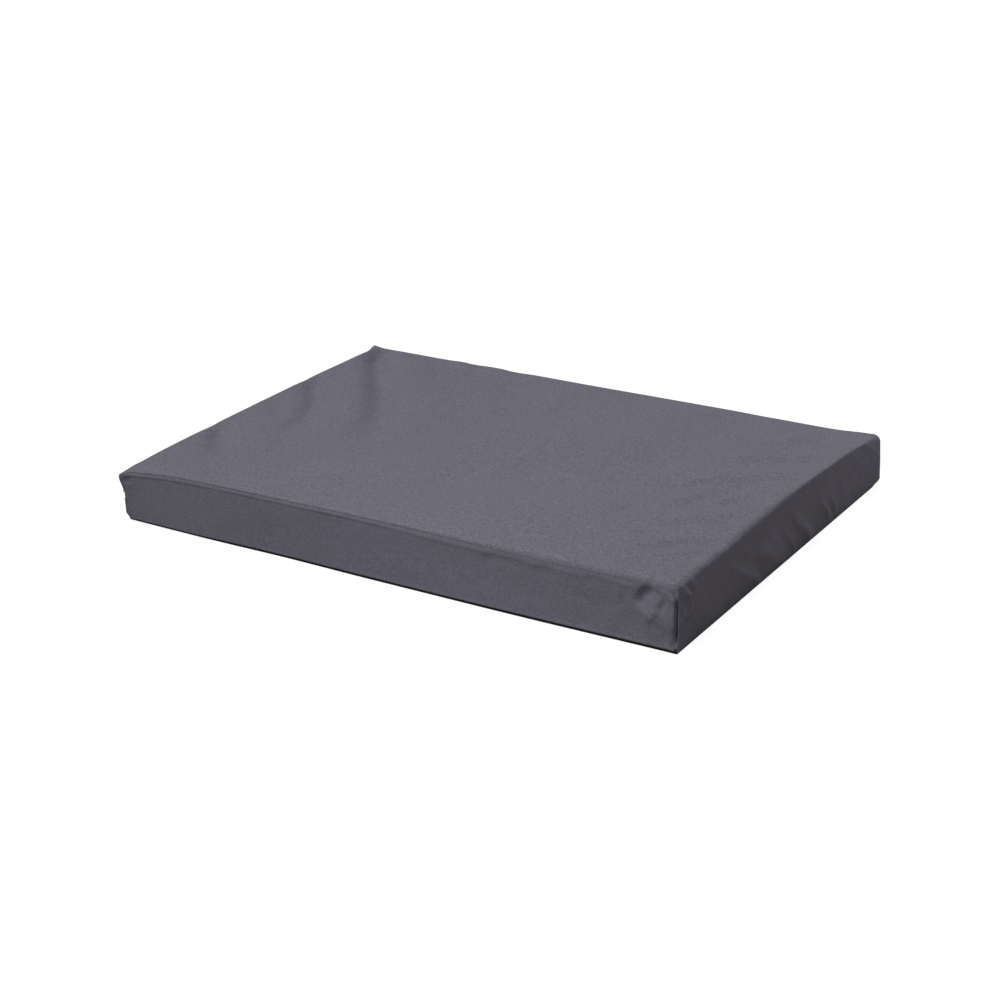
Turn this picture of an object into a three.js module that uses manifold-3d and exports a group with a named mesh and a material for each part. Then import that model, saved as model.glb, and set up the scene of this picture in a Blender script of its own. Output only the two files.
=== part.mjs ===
// A pressure relief mattress: a two-layer foam core in an inner liner, inside a sewn, zipped cover.
// Millimetres, +Z up. Origin: centre of the underside.
// +X runs along the length, away from the zip end. "Front" is -Y, "back" is +Y.
// The cover is a wrap panel (+X end, top, and the -X end down to the zip), a strip below the zip,
// two long side panels and a non-slip base panel.
// The zip runs along Y and closes towards +Y. Its pull tab swings about a vertical pin.
import * as THREE from "three";
import { mergeVertices } from "three/addons/utils/BufferGeometryUtils.js";
import Module from "manifold-3d";

// ---- driving dimensions -----------------------------------------------------
const LENGTH = 1000; // overall, along X
const WIDTH = 750; // overall, along Y
const HEIGHT = 100; // overall, along Z

const CLOTH = 1.0; // outer cover cloth
const SEAM = 0.4; // gap left at every sewn seam between two panels
const R_TOP = 12; // fold radius of the cover over the two short top edges
const R_BASE = 2.5; // fold radius of the base panel, where it turns up
const BASE_LIP = 6.5; // height the base panel reaches along the two long sides

const HEM = 12; // depth of the folded hem along each side of the zip
const HEM_T = 0.9; // the hem's second layer
const ZIP_Z = 46; // height of the zip's centre line
const ZIP_HALF = 6.3; // half the gap between the two hems
const ZIP_END = 350; // the coils run from -ZIP_END to +ZIP_END
const END_TAB_GAP_Y = 1.5; // between the coils' ends and the cloth end tabs
const END_TAB_GAP_Z = 0.3; // between the end tabs and the hems

const TAPE_W = 15;
const TAPE_T = 0.6;
const TAPE_EXTRA = 12; // each tape's length beyond each end of the coils
const TAPE_HEM_GAP = 0.3; // between the tapes and the hems
const TAPE_INSET = 0.4; // from a coil's inner edge to its tape's inner edge
const COIL_W = 3.1; // each coil, across the zip
const COIL_T = 2.4; // each coil, off the tape
const COIL_GAP = 0.5; // half the gap between the coils
const COIL_TAPE_GAP = 0.05;

const STOP_L = 4; // along the zip, within the coils' length
const STOP_OVERHANG = 1; // the bottom stop's length beyond the coils
const STOP_T = 0.7; // the stops' face plate
const STOP_LEG_T = 0.8;
const STOP_RISE = 0.9; // from the coil thickness to the face plate's outer face
const STOP_TAPE_GAP = 0.1;
const STOP_MARGIN = 1.1; // from a coil's outer edge to the stop's
const STOP_INSET = 0.2; // from a coil's inner edge to the top stops' inner edge

const SLIDER_Y = 338; // the slider's place when the zip is closed
const SLIDER_L = 15; // slider body, along the zip
const SLIDER_W = 11.6; // across the zip
const SLIDER_GAP = 0.35; // from the plates to coils and tape, and from the flanges to the tape
const OUTER_PLATE_T = 1.1;
const INNER_PLATE_T = 0.9;
const WEB_Y = [1.5, 6.5];
const WEB_HALF = 0.22;
const FLANGE_Y = [-3, 5];
const FLANGE_T = 1.1;
const BRIDGE_T = 0.9; // the bar over the pin
const BRIDGE_HALF_W = 1.5;
const POST_IN = 3.0; // the bridge posts, from the slider's centre along Y
const POST_OUT = 4.4;
const PIN_STANDOFF = 2.0; // from the outer plate to the pin's axis
const PIN_R = 0.75;
const PIN_BRIDGE_GAP = 0.55;
const OVERLAP = 0.2; // how far joined parts of a stop or the slider run into each other

const TAB_L = 30; // pull tab, from the pin's axis to its far end
const TAB_W = 8.4;
const TAB_T = 1.6;
const TAB_SLOT_END = -6.6; // closed end of the slot round the bridge
const TAB_SLOT_HALF = 2.1;
const TAB_HOLE_R = 1.9;
const TAB_HOLE_INSET = 5.4; // from the tab's far end to the hole's centre
const PIN_INSET = 0.8; // from the tab's edges to the pin's ends

const LINER = 0.8; // inner liner cloth
const LINER_GAP = 0.7; // between the liner and the cover
const LINER_ZIP_GAP = 1.2; // between the liner and the slider's inner plate
const LINER_R_TOP = R_TOP - 2;
const R_CORE = 5; // the liner's lower edge radius at its two short ends
const FOAM_GAP = 0.6; // between the foam and the liner, at the sides and the +X end
const FOAM_GAP_Z = 0.3; // below and above the foam
const FOAM_ZIP_INSET = 3; // from the liner's open end to the foam
const BASE_FOAM_H = 56; // high resilience foam
const GLUE_T = 0.6; // adhesive film between the foams
const GLUE_INSET = 4; // from the foam's sides to the film's

// ---- derived places ---------------------------------------------------------
const halfLength = LENGTH / 2;
const halfWidth = WIDTH / 2;
const seamY = halfWidth - CLOTH - SEAM; // half width of the panels between the side panels
const hemX = -halfLength + CLOTH + HEM_T; // inner face of the hems
const hemTop = ZIP_Z + ZIP_HALF; // lower edge of the wrap panel at the zip
const hemLow = ZIP_Z - ZIP_HALF; // upper edge of the strip below the zip

const tapeX = hemX + TAPE_HEM_GAP; // outer face of the tapes
const coilX = tapeX - COIL_TAPE_GAP; // flat face of the coils
const stopBackX = tapeX - STOP_TAPE_GAP;
const stopX = stopBackX - COIL_T - STOP_RISE; // outer face of the stops
const stopHalf = COIL_GAP + COIL_W + STOP_MARGIN;

const outerPlateIn = coilX - COIL_T - SLIDER_GAP;
const outerPlateOut = outerPlateIn - OUTER_PLATE_T;
const innerPlateOut = tapeX + TAPE_T + SLIDER_GAP;
const innerPlateIn = innerPlateOut + INNER_PLATE_T;
const pinX = outerPlateOut - PIN_STANDOFF;
const bridgeIn = pinX - PIN_R - PIN_BRIDGE_GAP; // inner face of the bridge's bar
const bridgeOut = bridgeIn - BRIDGE_T;

const linerX = [innerPlateIn + LINER_ZIP_GAP, halfLength - CLOTH - LINER_GAP];
const linerHalfY = halfWidth - CLOTH - LINER_GAP;
const linerZ = [CLOTH + LINER_GAP, HEIGHT - CLOTH - LINER_GAP];
const foamX = [linerX[0] + FOAM_ZIP_INSET, linerX[1] - LINER - FOAM_GAP];
const foamHalfY = linerHalfY - LINER - FOAM_GAP;
const foamZ = [linerZ[0] + LINER + FOAM_GAP_Z, linerZ[1] - LINER - FOAM_GAP_Z];
const glueZ = [foamZ[0] + BASE_FOAM_H, foamZ[0] + BASE_FOAM_H + GLUE_T];

// ---- materials --------------------------------------------------------------
const material = (color, { roughness, metalness = 0 }) =>
  new THREE.MeshStandardMaterial({ color, roughness, metalness });
const cloth = material(0x6a6873, { roughness: 0.85 });
const baseCloth = material(0x17171a, { roughness: 0.8 });
const tapeCloth = material(0x2c2b30, { roughness: 0.85 });
const coilNylon = material(0x26252a, { roughness: 0.5 });
const zinc = material(0x3b3b40, { roughness: 0.4, metalness: 0.8 });
const linerCloth = material(0xe9e7e1, { roughness: 0.9 });
const viscoFoam = material(0xf2e6b8, { roughness: 0.95 });
const baseFoam = material(0xd9e3ea, { roughness: 0.95 });
const glue = material(0xd8d2b8, { roughness: 0.6 });

// ---- helpers ----------------------------------------------------------------
const wasm = await Module();
wasm.setup();

// Turns a closed geometry into a Manifold solid. Strips the geometry's normals and uvs.
function solid(geometry) {
  geometry.deleteAttribute("normal");
  geometry.deleteAttribute("uv");
  const merged = mergeVertices(geometry, 1e-4);
  return new wasm.Manifold(
    new wasm.Mesh({
      numProp: 3,
      vertProperties: new Float32Array(merged.getAttribute("position").array),
      triVerts: new Uint32Array(merged.index.array),
    }),
  );
}

function geometryOf(manifold) {
  const mesh = manifold.getMesh();
  const geometry = new THREE.BufferGeometry();
  const positions = new Float32Array(mesh.vertProperties);
  geometry.setAttribute("position", new THREE.BufferAttribute(positions, 3));
  geometry.setIndex(new THREE.BufferAttribute(new Uint32Array(mesh.triVerts), 1));
  const flat = geometry.toNonIndexed();
  flat.computeVertexNormals();
  return flat;
}

const join = (...geometries) => geometries.map(solid).reduce((a, b) => a.add(b));

// Ranges are [low, high] pairs.
const centred = (half) => [-half, half];

// The range from `near` to `far` away from a centre, on its + side (1) or - side (-1).
const span = (side, near, far, centre = 0) =>
  side > 0 ? [centre + near, centre + far] : [centre - far, centre - near];

// A box given by its range on each axis.
function box([x0, x1], [y0, y1], [z0, z1]) {
  return new THREE.BoxGeometry(x1 - x0, y1 - y0, z1 - z0).translate(
    (x0 + x1) / 2,
    (y0 + y1) / 2,
    (z0 + z1) / 2,
  );
}

function extrude(points, holes, depth) {
  const vectors = (outline) => outline.map(([u, v]) => new THREE.Vector2(u, v));
  const shape = new THREE.Shape(vectors(points));
  shape.holes = holes.map((hole) => new THREE.Path(vectors(hole)));
  return new THREE.ExtrudeGeometry(shape, { depth, bevelEnabled: false });
}

// Extrudes an X-Z outline along Y: the shape's x, y and depth become x, z and -y.
function alongY(points, [y0, y1]) {
  return extrude(points, [], y1 - y0)
    .rotateX(Math.PI / 2)
    .translate(0, y1, 0);
}

// Extrudes a Y-Z outline along X: the shape's x, y and depth become y, z and x.
function alongX(points, [x0, x1], holes = []) {
  const turn = new THREE.Matrix4().set(0, 0, 1, x0, 1, 0, 0, 0, 0, 1, 0, 0, 0, 0, 0, 1);
  return extrude(points, holes, x1 - x0).applyMatrix4(turn);
}

// Points on an arc from angle `from` to `to`, in degrees, in the outline's plane.
function arc(centreU, centreV, radius, from, to, segments = 6) {
  return Array.from({ length: segments + 1 }, (_, i) => {
    const angle = THREE.MathUtils.degToRad(from + ((to - from) * i) / segments);
    return [centreU + radius * Math.cos(angle), centreV + radius * Math.sin(angle)];
  });
}

// Completes an outline from its +Z half by mirroring it to -Z.
const mirrored = (half) => [...half, ...half.map(([y, z]) => [y, -z]).reverse()];

function add(parent, name, geometry, meshMaterial) {
  const mesh = new THREE.Mesh(geometry, meshMaterial);
  mesh.name = name;
  parent.add(mesh);
}

const part = new THREE.Group();
function addGroup() {
  const group = new THREE.Group();
  part.add(group);
  return group;
}

// ---- outer cover ------------------------------------------------------------
// The cover's top line over both short edges, from +X to -X.
const topFolds = (radius) => [
  ...arc(halfLength - R_TOP, HEIGHT - R_TOP, radius, 0, 90),
  ...arc(-halfLength + R_TOP, HEIGHT - R_TOP, radius, 90, 180),
];

// +X end, top, and the -X end down to the zip, with a turned-in hem there.
function wrapPanel() {
  const outer = [[halfLength, SEAM], ...topFolds(R_TOP), [-halfLength, hemTop]];
  const inner = [
    [hemX, hemTop],
    [hemX, hemTop + HEM],
    [-halfLength + CLOTH, hemTop + HEM],
    ...topFolds(R_TOP - CLOTH).reverse(),
    [halfLength - CLOTH, SEAM],
  ];
  return alongY([...outer, ...inner], centred(seamY));
}

// A long side panel, down to the base panel's lip.
function sidePanel(side) {
  const low = BASE_LIP + SEAM;
  const outline = [[halfLength, low], ...topFolds(R_TOP), [-halfLength, low]];
  return alongY(outline, span(side, halfWidth - CLOTH, halfWidth));
}

// The strip below the zip, with its own turned-in hem.
function zipStrip() {
  const outline = [
    [-halfLength, SEAM],
    [-halfLength + CLOTH, SEAM],
    [-halfLength + CLOTH, hemLow - HEM],
    [hemX, hemLow - HEM],
    [hemX, hemLow],
    [-halfLength, hemLow],
  ];
  return alongY(outline, centred(seamY));
}

// Turned up along the two long sides to meet the side panels.
function basePanel() {
  const centre = halfWidth - R_BASE;
  const folds = (radius) => [
    ...arc(-centre, R_BASE, radius, 180, 270, 5),
    ...arc(centre, R_BASE, radius, -90, 0, 5),
  ];
  const outer = [[-halfWidth, BASE_LIP], ...folds(R_BASE), [halfWidth, BASE_LIP]];
  const inner = [
    [halfWidth - CLOTH, BASE_LIP],
    ...folds(R_BASE - CLOTH).reverse(),
    [-halfWidth + CLOTH, BASE_LIP],
  ];
  // the profile is drawn across the width, extruded, then turned to run along X
  const range = centred(halfLength - CLOTH - SEAM);
  return alongY([...outer, ...inner], range).rotateZ(Math.PI / 2);
}

// Cloth that closes the gap between the hems at one end of the zip.
function zipEndTab(side) {
  return box(
    [-halfLength, -halfLength + CLOTH],
    span(side, ZIP_END + END_TAB_GAP_Y, seamY),
    [hemLow + END_TAB_GAP_Z, hemTop - END_TAB_GAP_Z],
  );
}

const cover = addGroup();
add(cover, "cover_wrap_panel", wrapPanel(), cloth);
add(cover, "cover_front_panel", sidePanel(-1), cloth);
add(cover, "cover_back_panel", sidePanel(1), cloth);
add(cover, "cover_zip_strip", zipStrip(), cloth);
add(cover, "cover_base_panel", basePanel(), baseCloth);
add(cover, "zip_end_tab_front", zipEndTab(-1), cloth);
add(cover, "zip_end_tab_back", zipEndTab(1), cloth);

// ---- zip --------------------------------------------------------------------
function tape(side) {
  const inner = COIL_GAP + TAPE_INSET;
  return box(
    [tapeX, tapeX + TAPE_T],
    centred(ZIP_END + TAPE_EXTRA),
    span(side, inner, inner + TAPE_W, ZIP_Z),
  );
}

// A rounded bar on the outer face of its tape.
function coil(side) {
  const segments = 6;
  const squareness = 0.6; // power on the sine: 1 is an ellipse, less is squarer
  const points = Array.from({ length: segments + 1 }, (_, i) => {
    const angle = (Math.PI * i) / segments;
    return [
      coilX - COIL_T * Math.pow(Math.sin(angle), squareness),
      ZIP_Z + side * (COIL_GAP + (COIL_W * (1 - Math.cos(angle))) / 2),
    ];
  });
  return alongY(points, centred(ZIP_END));
}

// A face plate over the coils, with a leg towards the tape on each given side.
function zipStop(y, z, legSides) {
  const legs = legSides.map((side) =>
    box(
      [stopX + STOP_T - OVERLAP, stopBackX],
      y,
      span(side, stopHalf - STOP_LEG_T, stopHalf, ZIP_Z),
    ),
  );
  return geometryOf(join(box([stopX, stopX + STOP_T], y, z), ...legs));
}

// One clip round both coils, where the zip starts.
const bottomStop = () =>
  zipStop(
    [-ZIP_END - STOP_OVERHANG, -ZIP_END + STOP_L],
    [ZIP_Z - stopHalf, ZIP_Z + stopHalf],
    [1, -1],
  );

// A clip on one coil, where the zip ends.
const topStop = (side) =>
  zipStop(
    [ZIP_END - STOP_L, ZIP_END],
    span(side, COIL_GAP + STOP_INSET, stopHalf, ZIP_Z),
    [side],
  );

const zip = addGroup();
add(zip, "zip_tape_upper", tape(1), tapeCloth);
add(zip, "zip_tape_lower", tape(-1), tapeCloth);
add(zip, "zip_coil_upper", coil(1), coilNylon);
add(zip, "zip_coil_lower", coil(-1), coilNylon);
add(zip, "zip_bottom_stop", bottomStop(), zinc);
add(zip, "zip_top_stop_upper", topStop(1), zinc);
add(zip, "zip_top_stop_lower", topStop(-1), zinc);

// ---- slider and pull tab ----------------------------------------------------
// Two plates joined by a web between the coils, with side flanges and a bridge over the pin.
function sliderBody() {
  const halfL = SLIDER_L / 2;
  const halfW = SLIDER_W / 2;
  // [y, z], the +Z half of a plate, narrowed at its -Y end
  const plate = mirrored([
    [-halfL, SLIDER_W * 0.36],
    [-halfL + 4, halfW],
    [halfL - 2, halfW],
    [halfL, halfW - 1.4],
  ]);
  const flangeX = [outerPlateIn - OVERLAP, tapeX - SLIDER_GAP];
  const postX = [bridgeOut, outerPlateOut + OVERLAP];
  const bridgeZ = centred(BRIDGE_HALF_W);
  return geometryOf(
    join(
      alongX(plate, [outerPlateOut, outerPlateIn]),
      alongX(plate, [innerPlateOut, innerPlateIn]),
      box([outerPlateIn - OVERLAP, innerPlateOut + OVERLAP], WEB_Y, centred(WEB_HALF)),
      ...[1, -1].map((side) => box(flangeX, FLANGE_Y, span(side, halfW - FLANGE_T, halfW))),
      ...[1, -1].map((side) => box(postX, span(side, POST_IN, POST_OUT), bridgeZ)),
      box([bridgeOut, bridgeIn], centred(POST_OUT), bridgeZ),
    ),
  );
}

// A flat tab, forked round the bridge, with a pin across the fork and a round hole at its far end.
function pullTab() {
  const halfW = TAB_W / 2;
  // [y, z], the +Z half, from the fork's tip to the far end
  const outline = mirrored([
    [1.2, halfW - 0.8],
    [0.4, halfW],
    [-9, halfW],
    [-13, halfW * 0.72],
    [-TAB_L + 4, halfW * 0.86],
    [-TAB_L + 1.2, halfW * 0.7],
    [-TAB_L, halfW * 0.3],
  ]);
  // a full circle, less its repeated first point
  const hole = arc(-TAB_L + TAB_HOLE_INSET, 0, TAB_HOLE_R, 0, 360, 16).slice(1);
  const tabX = [pinX - TAB_T / 2, pinX + TAB_T / 2];
  // the slot's tool runs out past both faces and the fork's tip
  const slot = box([tabX[0] - 1, tabX[1] + 1], [TAB_SLOT_END, 3], centred(TAB_SLOT_HALF));
  const pin = new THREE.CylinderGeometry(PIN_R, PIN_R, TAB_W - 2 * PIN_INSET, 20)
    .rotateX(Math.PI / 2)
    .translate(pinX, 0, 0);
  const fork = solid(alongX(outline, tabX, [hole])).subtract(solid(slot));
  return geometryOf(fork.add(solid(pin)));
}

const slider = addGroup();
slider.position.set(0, SLIDER_Y, ZIP_Z);
add(slider, "zip_slider", sliderBody(), zinc);
add(slider, "zip_pull_tab", pullTab(), zinc);

// ---- core -------------------------------------------------------------------
// A block with its X-Z corners rounded, by `top` at the top and `low` at the bottom.
function pad([x0, x1], halfY, [z0, z1], { top = 0, low = 0 }) {
  const corner = (x, z, radius, from) =>
    radius > 0 ? arc(x, z, radius, from, from + 90, 4) : [[x, z]];
  const outline = [
    ...corner(x1 - low, z0 + low, low, -90),
    ...corner(x1 - top, z1 - top, top, 0),
    ...corner(x0 + top, z1 - top, top, 90),
    ...corner(x0 + low, z0 + low, low, 180),
  ];
  return alongY(outline, centred(halfY));
}

// A cloth bag, open at the zip end.
function liner() {
  const bag = pad(linerX, linerHalfY, linerZ, { top: LINER_R_TOP, low: R_CORE });
  // runs out well past the open end, so that its own rounded corners there cut nothing
  const inside = pad(
    [linerX[0] - 20, linerX[1] - LINER],
    linerHalfY - LINER,
    [linerZ[0] + LINER, linerZ[1] - LINER],
    { top: LINER_R_TOP - LINER, low: R_CORE - LINER },
  );
  return geometryOf(solid(bag).subtract(solid(inside)));
}

const baseLayer = () =>
  pad(foamX, foamHalfY, [foamZ[0], glueZ[0]], { low: R_CORE - LINER - FOAM_GAP_Z });

const adhesiveFilm = () =>
  box([foamX[0] + GLUE_INSET, foamX[1] - GLUE_INSET], centred(foamHalfY - GLUE_INSET), glueZ);

const viscoLayer = () =>
  pad(foamX, foamHalfY, [glueZ[1], foamZ[1]], { top: LINER_R_TOP - LINER - FOAM_GAP });

const core = addGroup();
add(core, "inner_liner", liner(), linerCloth);
add(core, "foam_base_layer", baseLayer(), baseFoam);
add(core, "adhesive_film", adhesiveFilm(), glue);
add(core, "foam_visco_layer", viscoLayer(), viscoFoam);

export default part;
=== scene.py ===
"""A small foam mattress in a sewn, zipped, coated cloth cover, lying flat with its foot at z = 0.

Metres, +Z up. The long sides run along X, the front is -Y, and the zip crosses the left end (-X).
"""

import math

import bpy
import numpy as np
from mathutils import Matrix, Vector


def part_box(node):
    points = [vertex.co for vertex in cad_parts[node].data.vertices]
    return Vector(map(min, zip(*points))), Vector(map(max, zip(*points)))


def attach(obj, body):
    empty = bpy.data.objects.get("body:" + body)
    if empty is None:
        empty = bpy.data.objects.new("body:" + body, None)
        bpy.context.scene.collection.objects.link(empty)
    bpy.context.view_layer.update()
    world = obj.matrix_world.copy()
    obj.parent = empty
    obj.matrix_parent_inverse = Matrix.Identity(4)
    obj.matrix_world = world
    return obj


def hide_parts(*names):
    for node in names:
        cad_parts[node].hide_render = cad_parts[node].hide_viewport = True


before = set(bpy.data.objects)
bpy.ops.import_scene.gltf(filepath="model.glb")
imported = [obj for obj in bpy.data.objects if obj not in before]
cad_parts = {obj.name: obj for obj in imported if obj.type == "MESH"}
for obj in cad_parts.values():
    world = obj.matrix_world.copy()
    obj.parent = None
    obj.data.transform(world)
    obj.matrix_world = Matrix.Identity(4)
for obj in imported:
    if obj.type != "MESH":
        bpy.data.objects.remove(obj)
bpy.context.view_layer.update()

# ---- sizes ----------------------------------------------------------------------
MM = 0.001
X, Y, Z = 0, 1, 2  # axis numbers
ROOT = "mattress"

WRAP_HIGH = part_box("cover_wrap_panel")[1]
HALF_X = WRAP_HIGH.x
HALF_Y = -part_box("cover_front_panel")[0].y
HEIGHT = WRAP_HIGH.z
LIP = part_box("cover_base_panel")[1].z  # how far the base panel turns up along the long sides
ZIP_Z = (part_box("zip_coil_upper")[0].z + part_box("zip_coil_lower")[1].z) / 2
HEM_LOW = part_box("cover_zip_strip")[1].z  # upper edge of the strip below the zip
HEM_TOP = 2 * ZIP_Z - HEM_LOW  # lower edge of the wrap panel above the zip

FOLD = 8.0 * MM  # fold radius of the wrap panel over both short top edges
HEM_FOLD = 1.0 * MM  # fold radius of the hems beside the zip
TURN = 0.6 * MM  # radius of a panel's turn into a seam
SEAM_GAP = 0.1 * MM
CLOTH_STEP = 4.0 * MM
# radii of the rolls into the long seams, at each end
FRONT_ROLL_LEFT = 3.4 * MM
FRONT_ROLL_RIGHT = 0.9 * MM
BACK_ROLL_LEFT = 3.6 * MM
BACK_ROLL_RIGHT = 6.0 * MM


# ---- numbers --------------------------------------------------------------------
def rise(start, end, value):
    """Smooth step from 0 at start to 1 at end."""
    share = np.clip((np.asarray(value, float) - start) / (end - start), 0, 1)
    return share * share * (3 - 2 * share)


def fall(start, end, value):
    """Smooth step from 1 at start to 0 at end."""
    return 1 - rise(start, end, value)


def bell(value, centre, width):
    return np.exp(-(((np.asarray(value, float) - centre) / width) ** 2))


def spaced(low, high, step):
    return np.linspace(low, high, max(2, int(round((high - low) / step)) + 1))


class Noise:
    """Gradient noise in 3-D, about -1 to 1, the same on every run."""

    def __init__(self, seed):
        rng = np.random.RandomState(seed)
        self.order = np.tile(rng.permutation(256), 3)
        slopes = rng.normal(size=(256, 3))
        self.slopes = slopes / np.linalg.norm(slopes, axis=1)[:, None]

    def __call__(self, x, y, z):
        point = np.stack(np.broadcast_arrays(x, y, z), -1).astype(float)
        cell = np.floor(point).astype(int)
        part = point - cell
        fade = part * part * part * (part * (part * 6 - 15) + 10)
        total = 0
        for corner in np.ndindex(2, 2, 2):
            i, j, k = np.moveaxis((cell + corner) & 255, -1, 0)
            slope = self.slopes[self.order[self.order[self.order[i] + j] + k]]
            weight = np.where(corner, fade, 1 - fade).prod(-1)
            total = total + (slope * (part - corner)).sum(-1) * weight
        return total * 1.6


noise1, noise2, noise3, noise4 = Noise(11), Noise(23), Noise(37), Noise(53)


def folded(value):
    """Turns noise into sharp crests where it crosses zero."""
    return 1 - 2 * np.abs(value)


# ---- the cover's overall form ---------------------------------------------------
# Each function below adds to shift, in mm, a row for each axis. Places and widths are in metres.

# How far each corner of the plain box moves: [left/right][front/back][low/high] = (x, y, z)
CORNERS = np.array(
    [
        [[(-1.1, 0.5, 0.0), (3.9, 3.0, -1.1)], [(0.0, 0.0, 0.0), (-2.5, -3.6, -6.0)]],
        [[(3.6, -7.2, 0.0), (-2.1, 2.4, 8.5)], [(7.9, 6.5, 0.0), (4.0, 0.6, -1.8)]],
    ]
)


def skew_box(shift, x, y, z):
    """Blends the corner moves; the left end stays flat where the zip is."""
    along = np.clip((x + HALF_X) / (2 * HALF_X), 0, 1)
    across = np.clip((y + HALF_Y) / (2 * HALF_Y), 0, 1)
    up = np.clip(z / HEIGHT, 0, 1)
    at_left = bell(np.clip(x + HALF_X, 0, None), 0, 0.05)
    lift = (1 - at_left) * up + at_left * rise(0.064, 0.098, z)
    for i, j, k in np.ndindex(2, 2, 2):
        plan = (along if i else 1 - along) * (across if j else 1 - across)
        level = plan * (up if k else 1 - up)
        level_z = plan * (lift if k else 1 - lift)
        shift += CORNERS[i, j, k][:, None] * np.stack([level, level, level_z])
    shift[X] *= 1 - at_left * fall(0.352, 0.374, np.abs(y))


def bow_edges(shift, x, y, z):
    high = rise(0.02, 0.095, z)
    # the left edge between its two corners stands a little higher
    shift[Z] += 2.6 * bell(x, -HALF_X, 0.13) * bell(y, 0.10, 0.26) * rise(0.066, 0.098, z)
    # the right edge is bowed up and in between its corners
    shift[Z] += 5.0 * bell(x, HALF_X, 0.11) * bell(y, 0.03, 0.21) * high
    shift[X] -= 2.5 * bell(x, HALF_X, 0.05) * bell(y, -0.06, 0.20) * high
    # the back edge sags a little along its right half
    shift[Z] -= 2.2 * rise(-0.30, -0.02, x) * bell(y, HALF_Y, 0.12) * high
    # the lying surface dips towards the front right
    shift[Z] -= 2.2 * bell(x, HALF_X, 0.030) * fall(-0.27, 0.08, y) * rise(0.06, 0.095, z)


def fill_back_right(shift, x, y, z):
    """The back right corner is full from top to bottom."""
    full = bell(x, HALF_X, 0.045) * bell(y, HALF_Y, 0.055)
    body = 0.94 * rise(0.0, 0.018, z) + 0.06 * rise(0.02, 0.06, z) - 0.24 * rise(0.087, 0.101, z)
    shift[X] += 10.5 * full * body
    shift[Y] += 11.0 * full * body
    peak = bell(x, HALF_X, 0.022) * bell(y, HALF_Y, 0.022)
    shift[Z] += 0.6 * peak * rise(0.07, 0.098, z)


def crease_right_edge(shift, x, y, z):
    """Towards the back the fold over the right end is creased sharper."""
    inset, width = 2.3 * MM, 3.6 * MM
    crease = bell(x, HALF_X - inset, width) * bell(z, HEIGHT - inset, width)
    crease = crease * rise(-0.12, 0.16, y) * fall(0.335, 0.372, y)
    shift[X] += 2.0 * crease
    shift[Z] += 1.7 * crease


def shape_front(shift, x, y, z):
    near = bell(y, -HALF_Y, 0.15)
    # the foot bellies out right of the middle, and draws in left of it
    shift[Y] -= 2.0 * bell(x, 0.24, 0.18) * fall(0.0, 0.060, z) * near
    shift[Y] += 3.4 * bell(x, -0.20, 0.12) * fall(0.0, 0.085, z) * near
    # where the right shoulder is dented, the edge gives way as well
    dent = bell(x, 0.455 + 0.5 * (z - 0.09), 0.0075) * bell(z, 0.094, 0.014)
    dent = dent * bell(y, -HALF_Y, 0.016)
    shift[Y] += 2.4 * dent
    shift[Z] -= 1.0 * dent


def lift_front_left_foot(shift, x, y, z):
    """The front left foot lifts a little off the floor, and rounds under."""
    foot = bell(x, -HALF_X, 0.16) * bell(y, -HALF_Y, 0.10)
    shift[Z] += 2.6 * foot * fall(0.0, 0.036, z)
    toe = bell(x, -HALF_X, 0.018) * rise(0.30, 0.374, -y) * fall(0.0, 0.010, z) ** 2
    shift[X] += 1.2 * toe
    shift[Z] += 0.4 * toe


def pinch_front_left(shift, x, y, z):
    """The top droops to the seam, and the cloth slopes out to a pinched point."""
    droop = bell(x, -HALF_X, 0.085) * fall(0.0, 0.024, y + HALF_Y) * rise(0.03, 0.092, z)
    shift[Z] -= 4.5 * droop
    droop = bell(x, -HALF_X, 0.05) * bell(y, -HALF_Y, 0.085) * rise(0.05, 0.095, z)
    shift[Z] -= 3.6 * droop
    up = np.clip((z - 0.010) / 0.080, 0, 1)
    lean = (5.9 + 7.6 * up) * rise(0.003, 0.014, z) * fall(0.091, 0.101, z)
    start = 0.338 + 0.029 * bell(z, ZIP_Z, 0.015)  # the slider and its tab need the zip's end flat
    lean = lean * rise(start, 0.374, -y)
    shift[X] -= lean * bell(x, -HALF_X, 0.018)
    shift[Y] -= 0.22 * lean * bell(x, -HALF_X, 0.022)
    ear = bell(x, -HALF_X, 0.0085) * rise(-HALF_Y + 0.016, -HALF_Y + 0.001, y)
    ear = ear * bell(z, 0.0895, np.where(z > 0.0895, 0.0075, 0.024))
    shift[X] -= 3.6 * ear
    shift[Y] -= 5.2 * ear
    shift[Z] -= 1.5 * ear


def raise_back_left(shift, x, y, z):
    """The back left corner stands up as a second, flatter point, drawn in below."""
    ear = bell(x, -HALF_X, 0.016) * bell(y, HALF_Y, 0.018) * rise(0.06, 0.097, z)
    shift[X] -= 2.6 * ear
    shift[Y] += 2.5 * ear
    shift[Z] += 2.4 * ear
    shift[X] += 2.5 * bell(x, -HALF_X, 0.02) * bell(y, HALF_Y, 0.02) * bell(z, 0.045, 0.035)


def warp(points):
    """Moves points of the plain padded box to where the loose cover lies."""
    points = np.array(points, float)
    flat = points.reshape(-1, 3)
    shift = np.zeros((3, len(flat)))
    for move in (
        skew_box, bow_edges, fill_back_right, crease_right_edge, shape_front,
        lift_front_left_foot, pinch_front_left, raise_back_left,
    ):
        move(shift, *flat.T)
    return (flat + shift.T * MM).reshape(points.shape)


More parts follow.
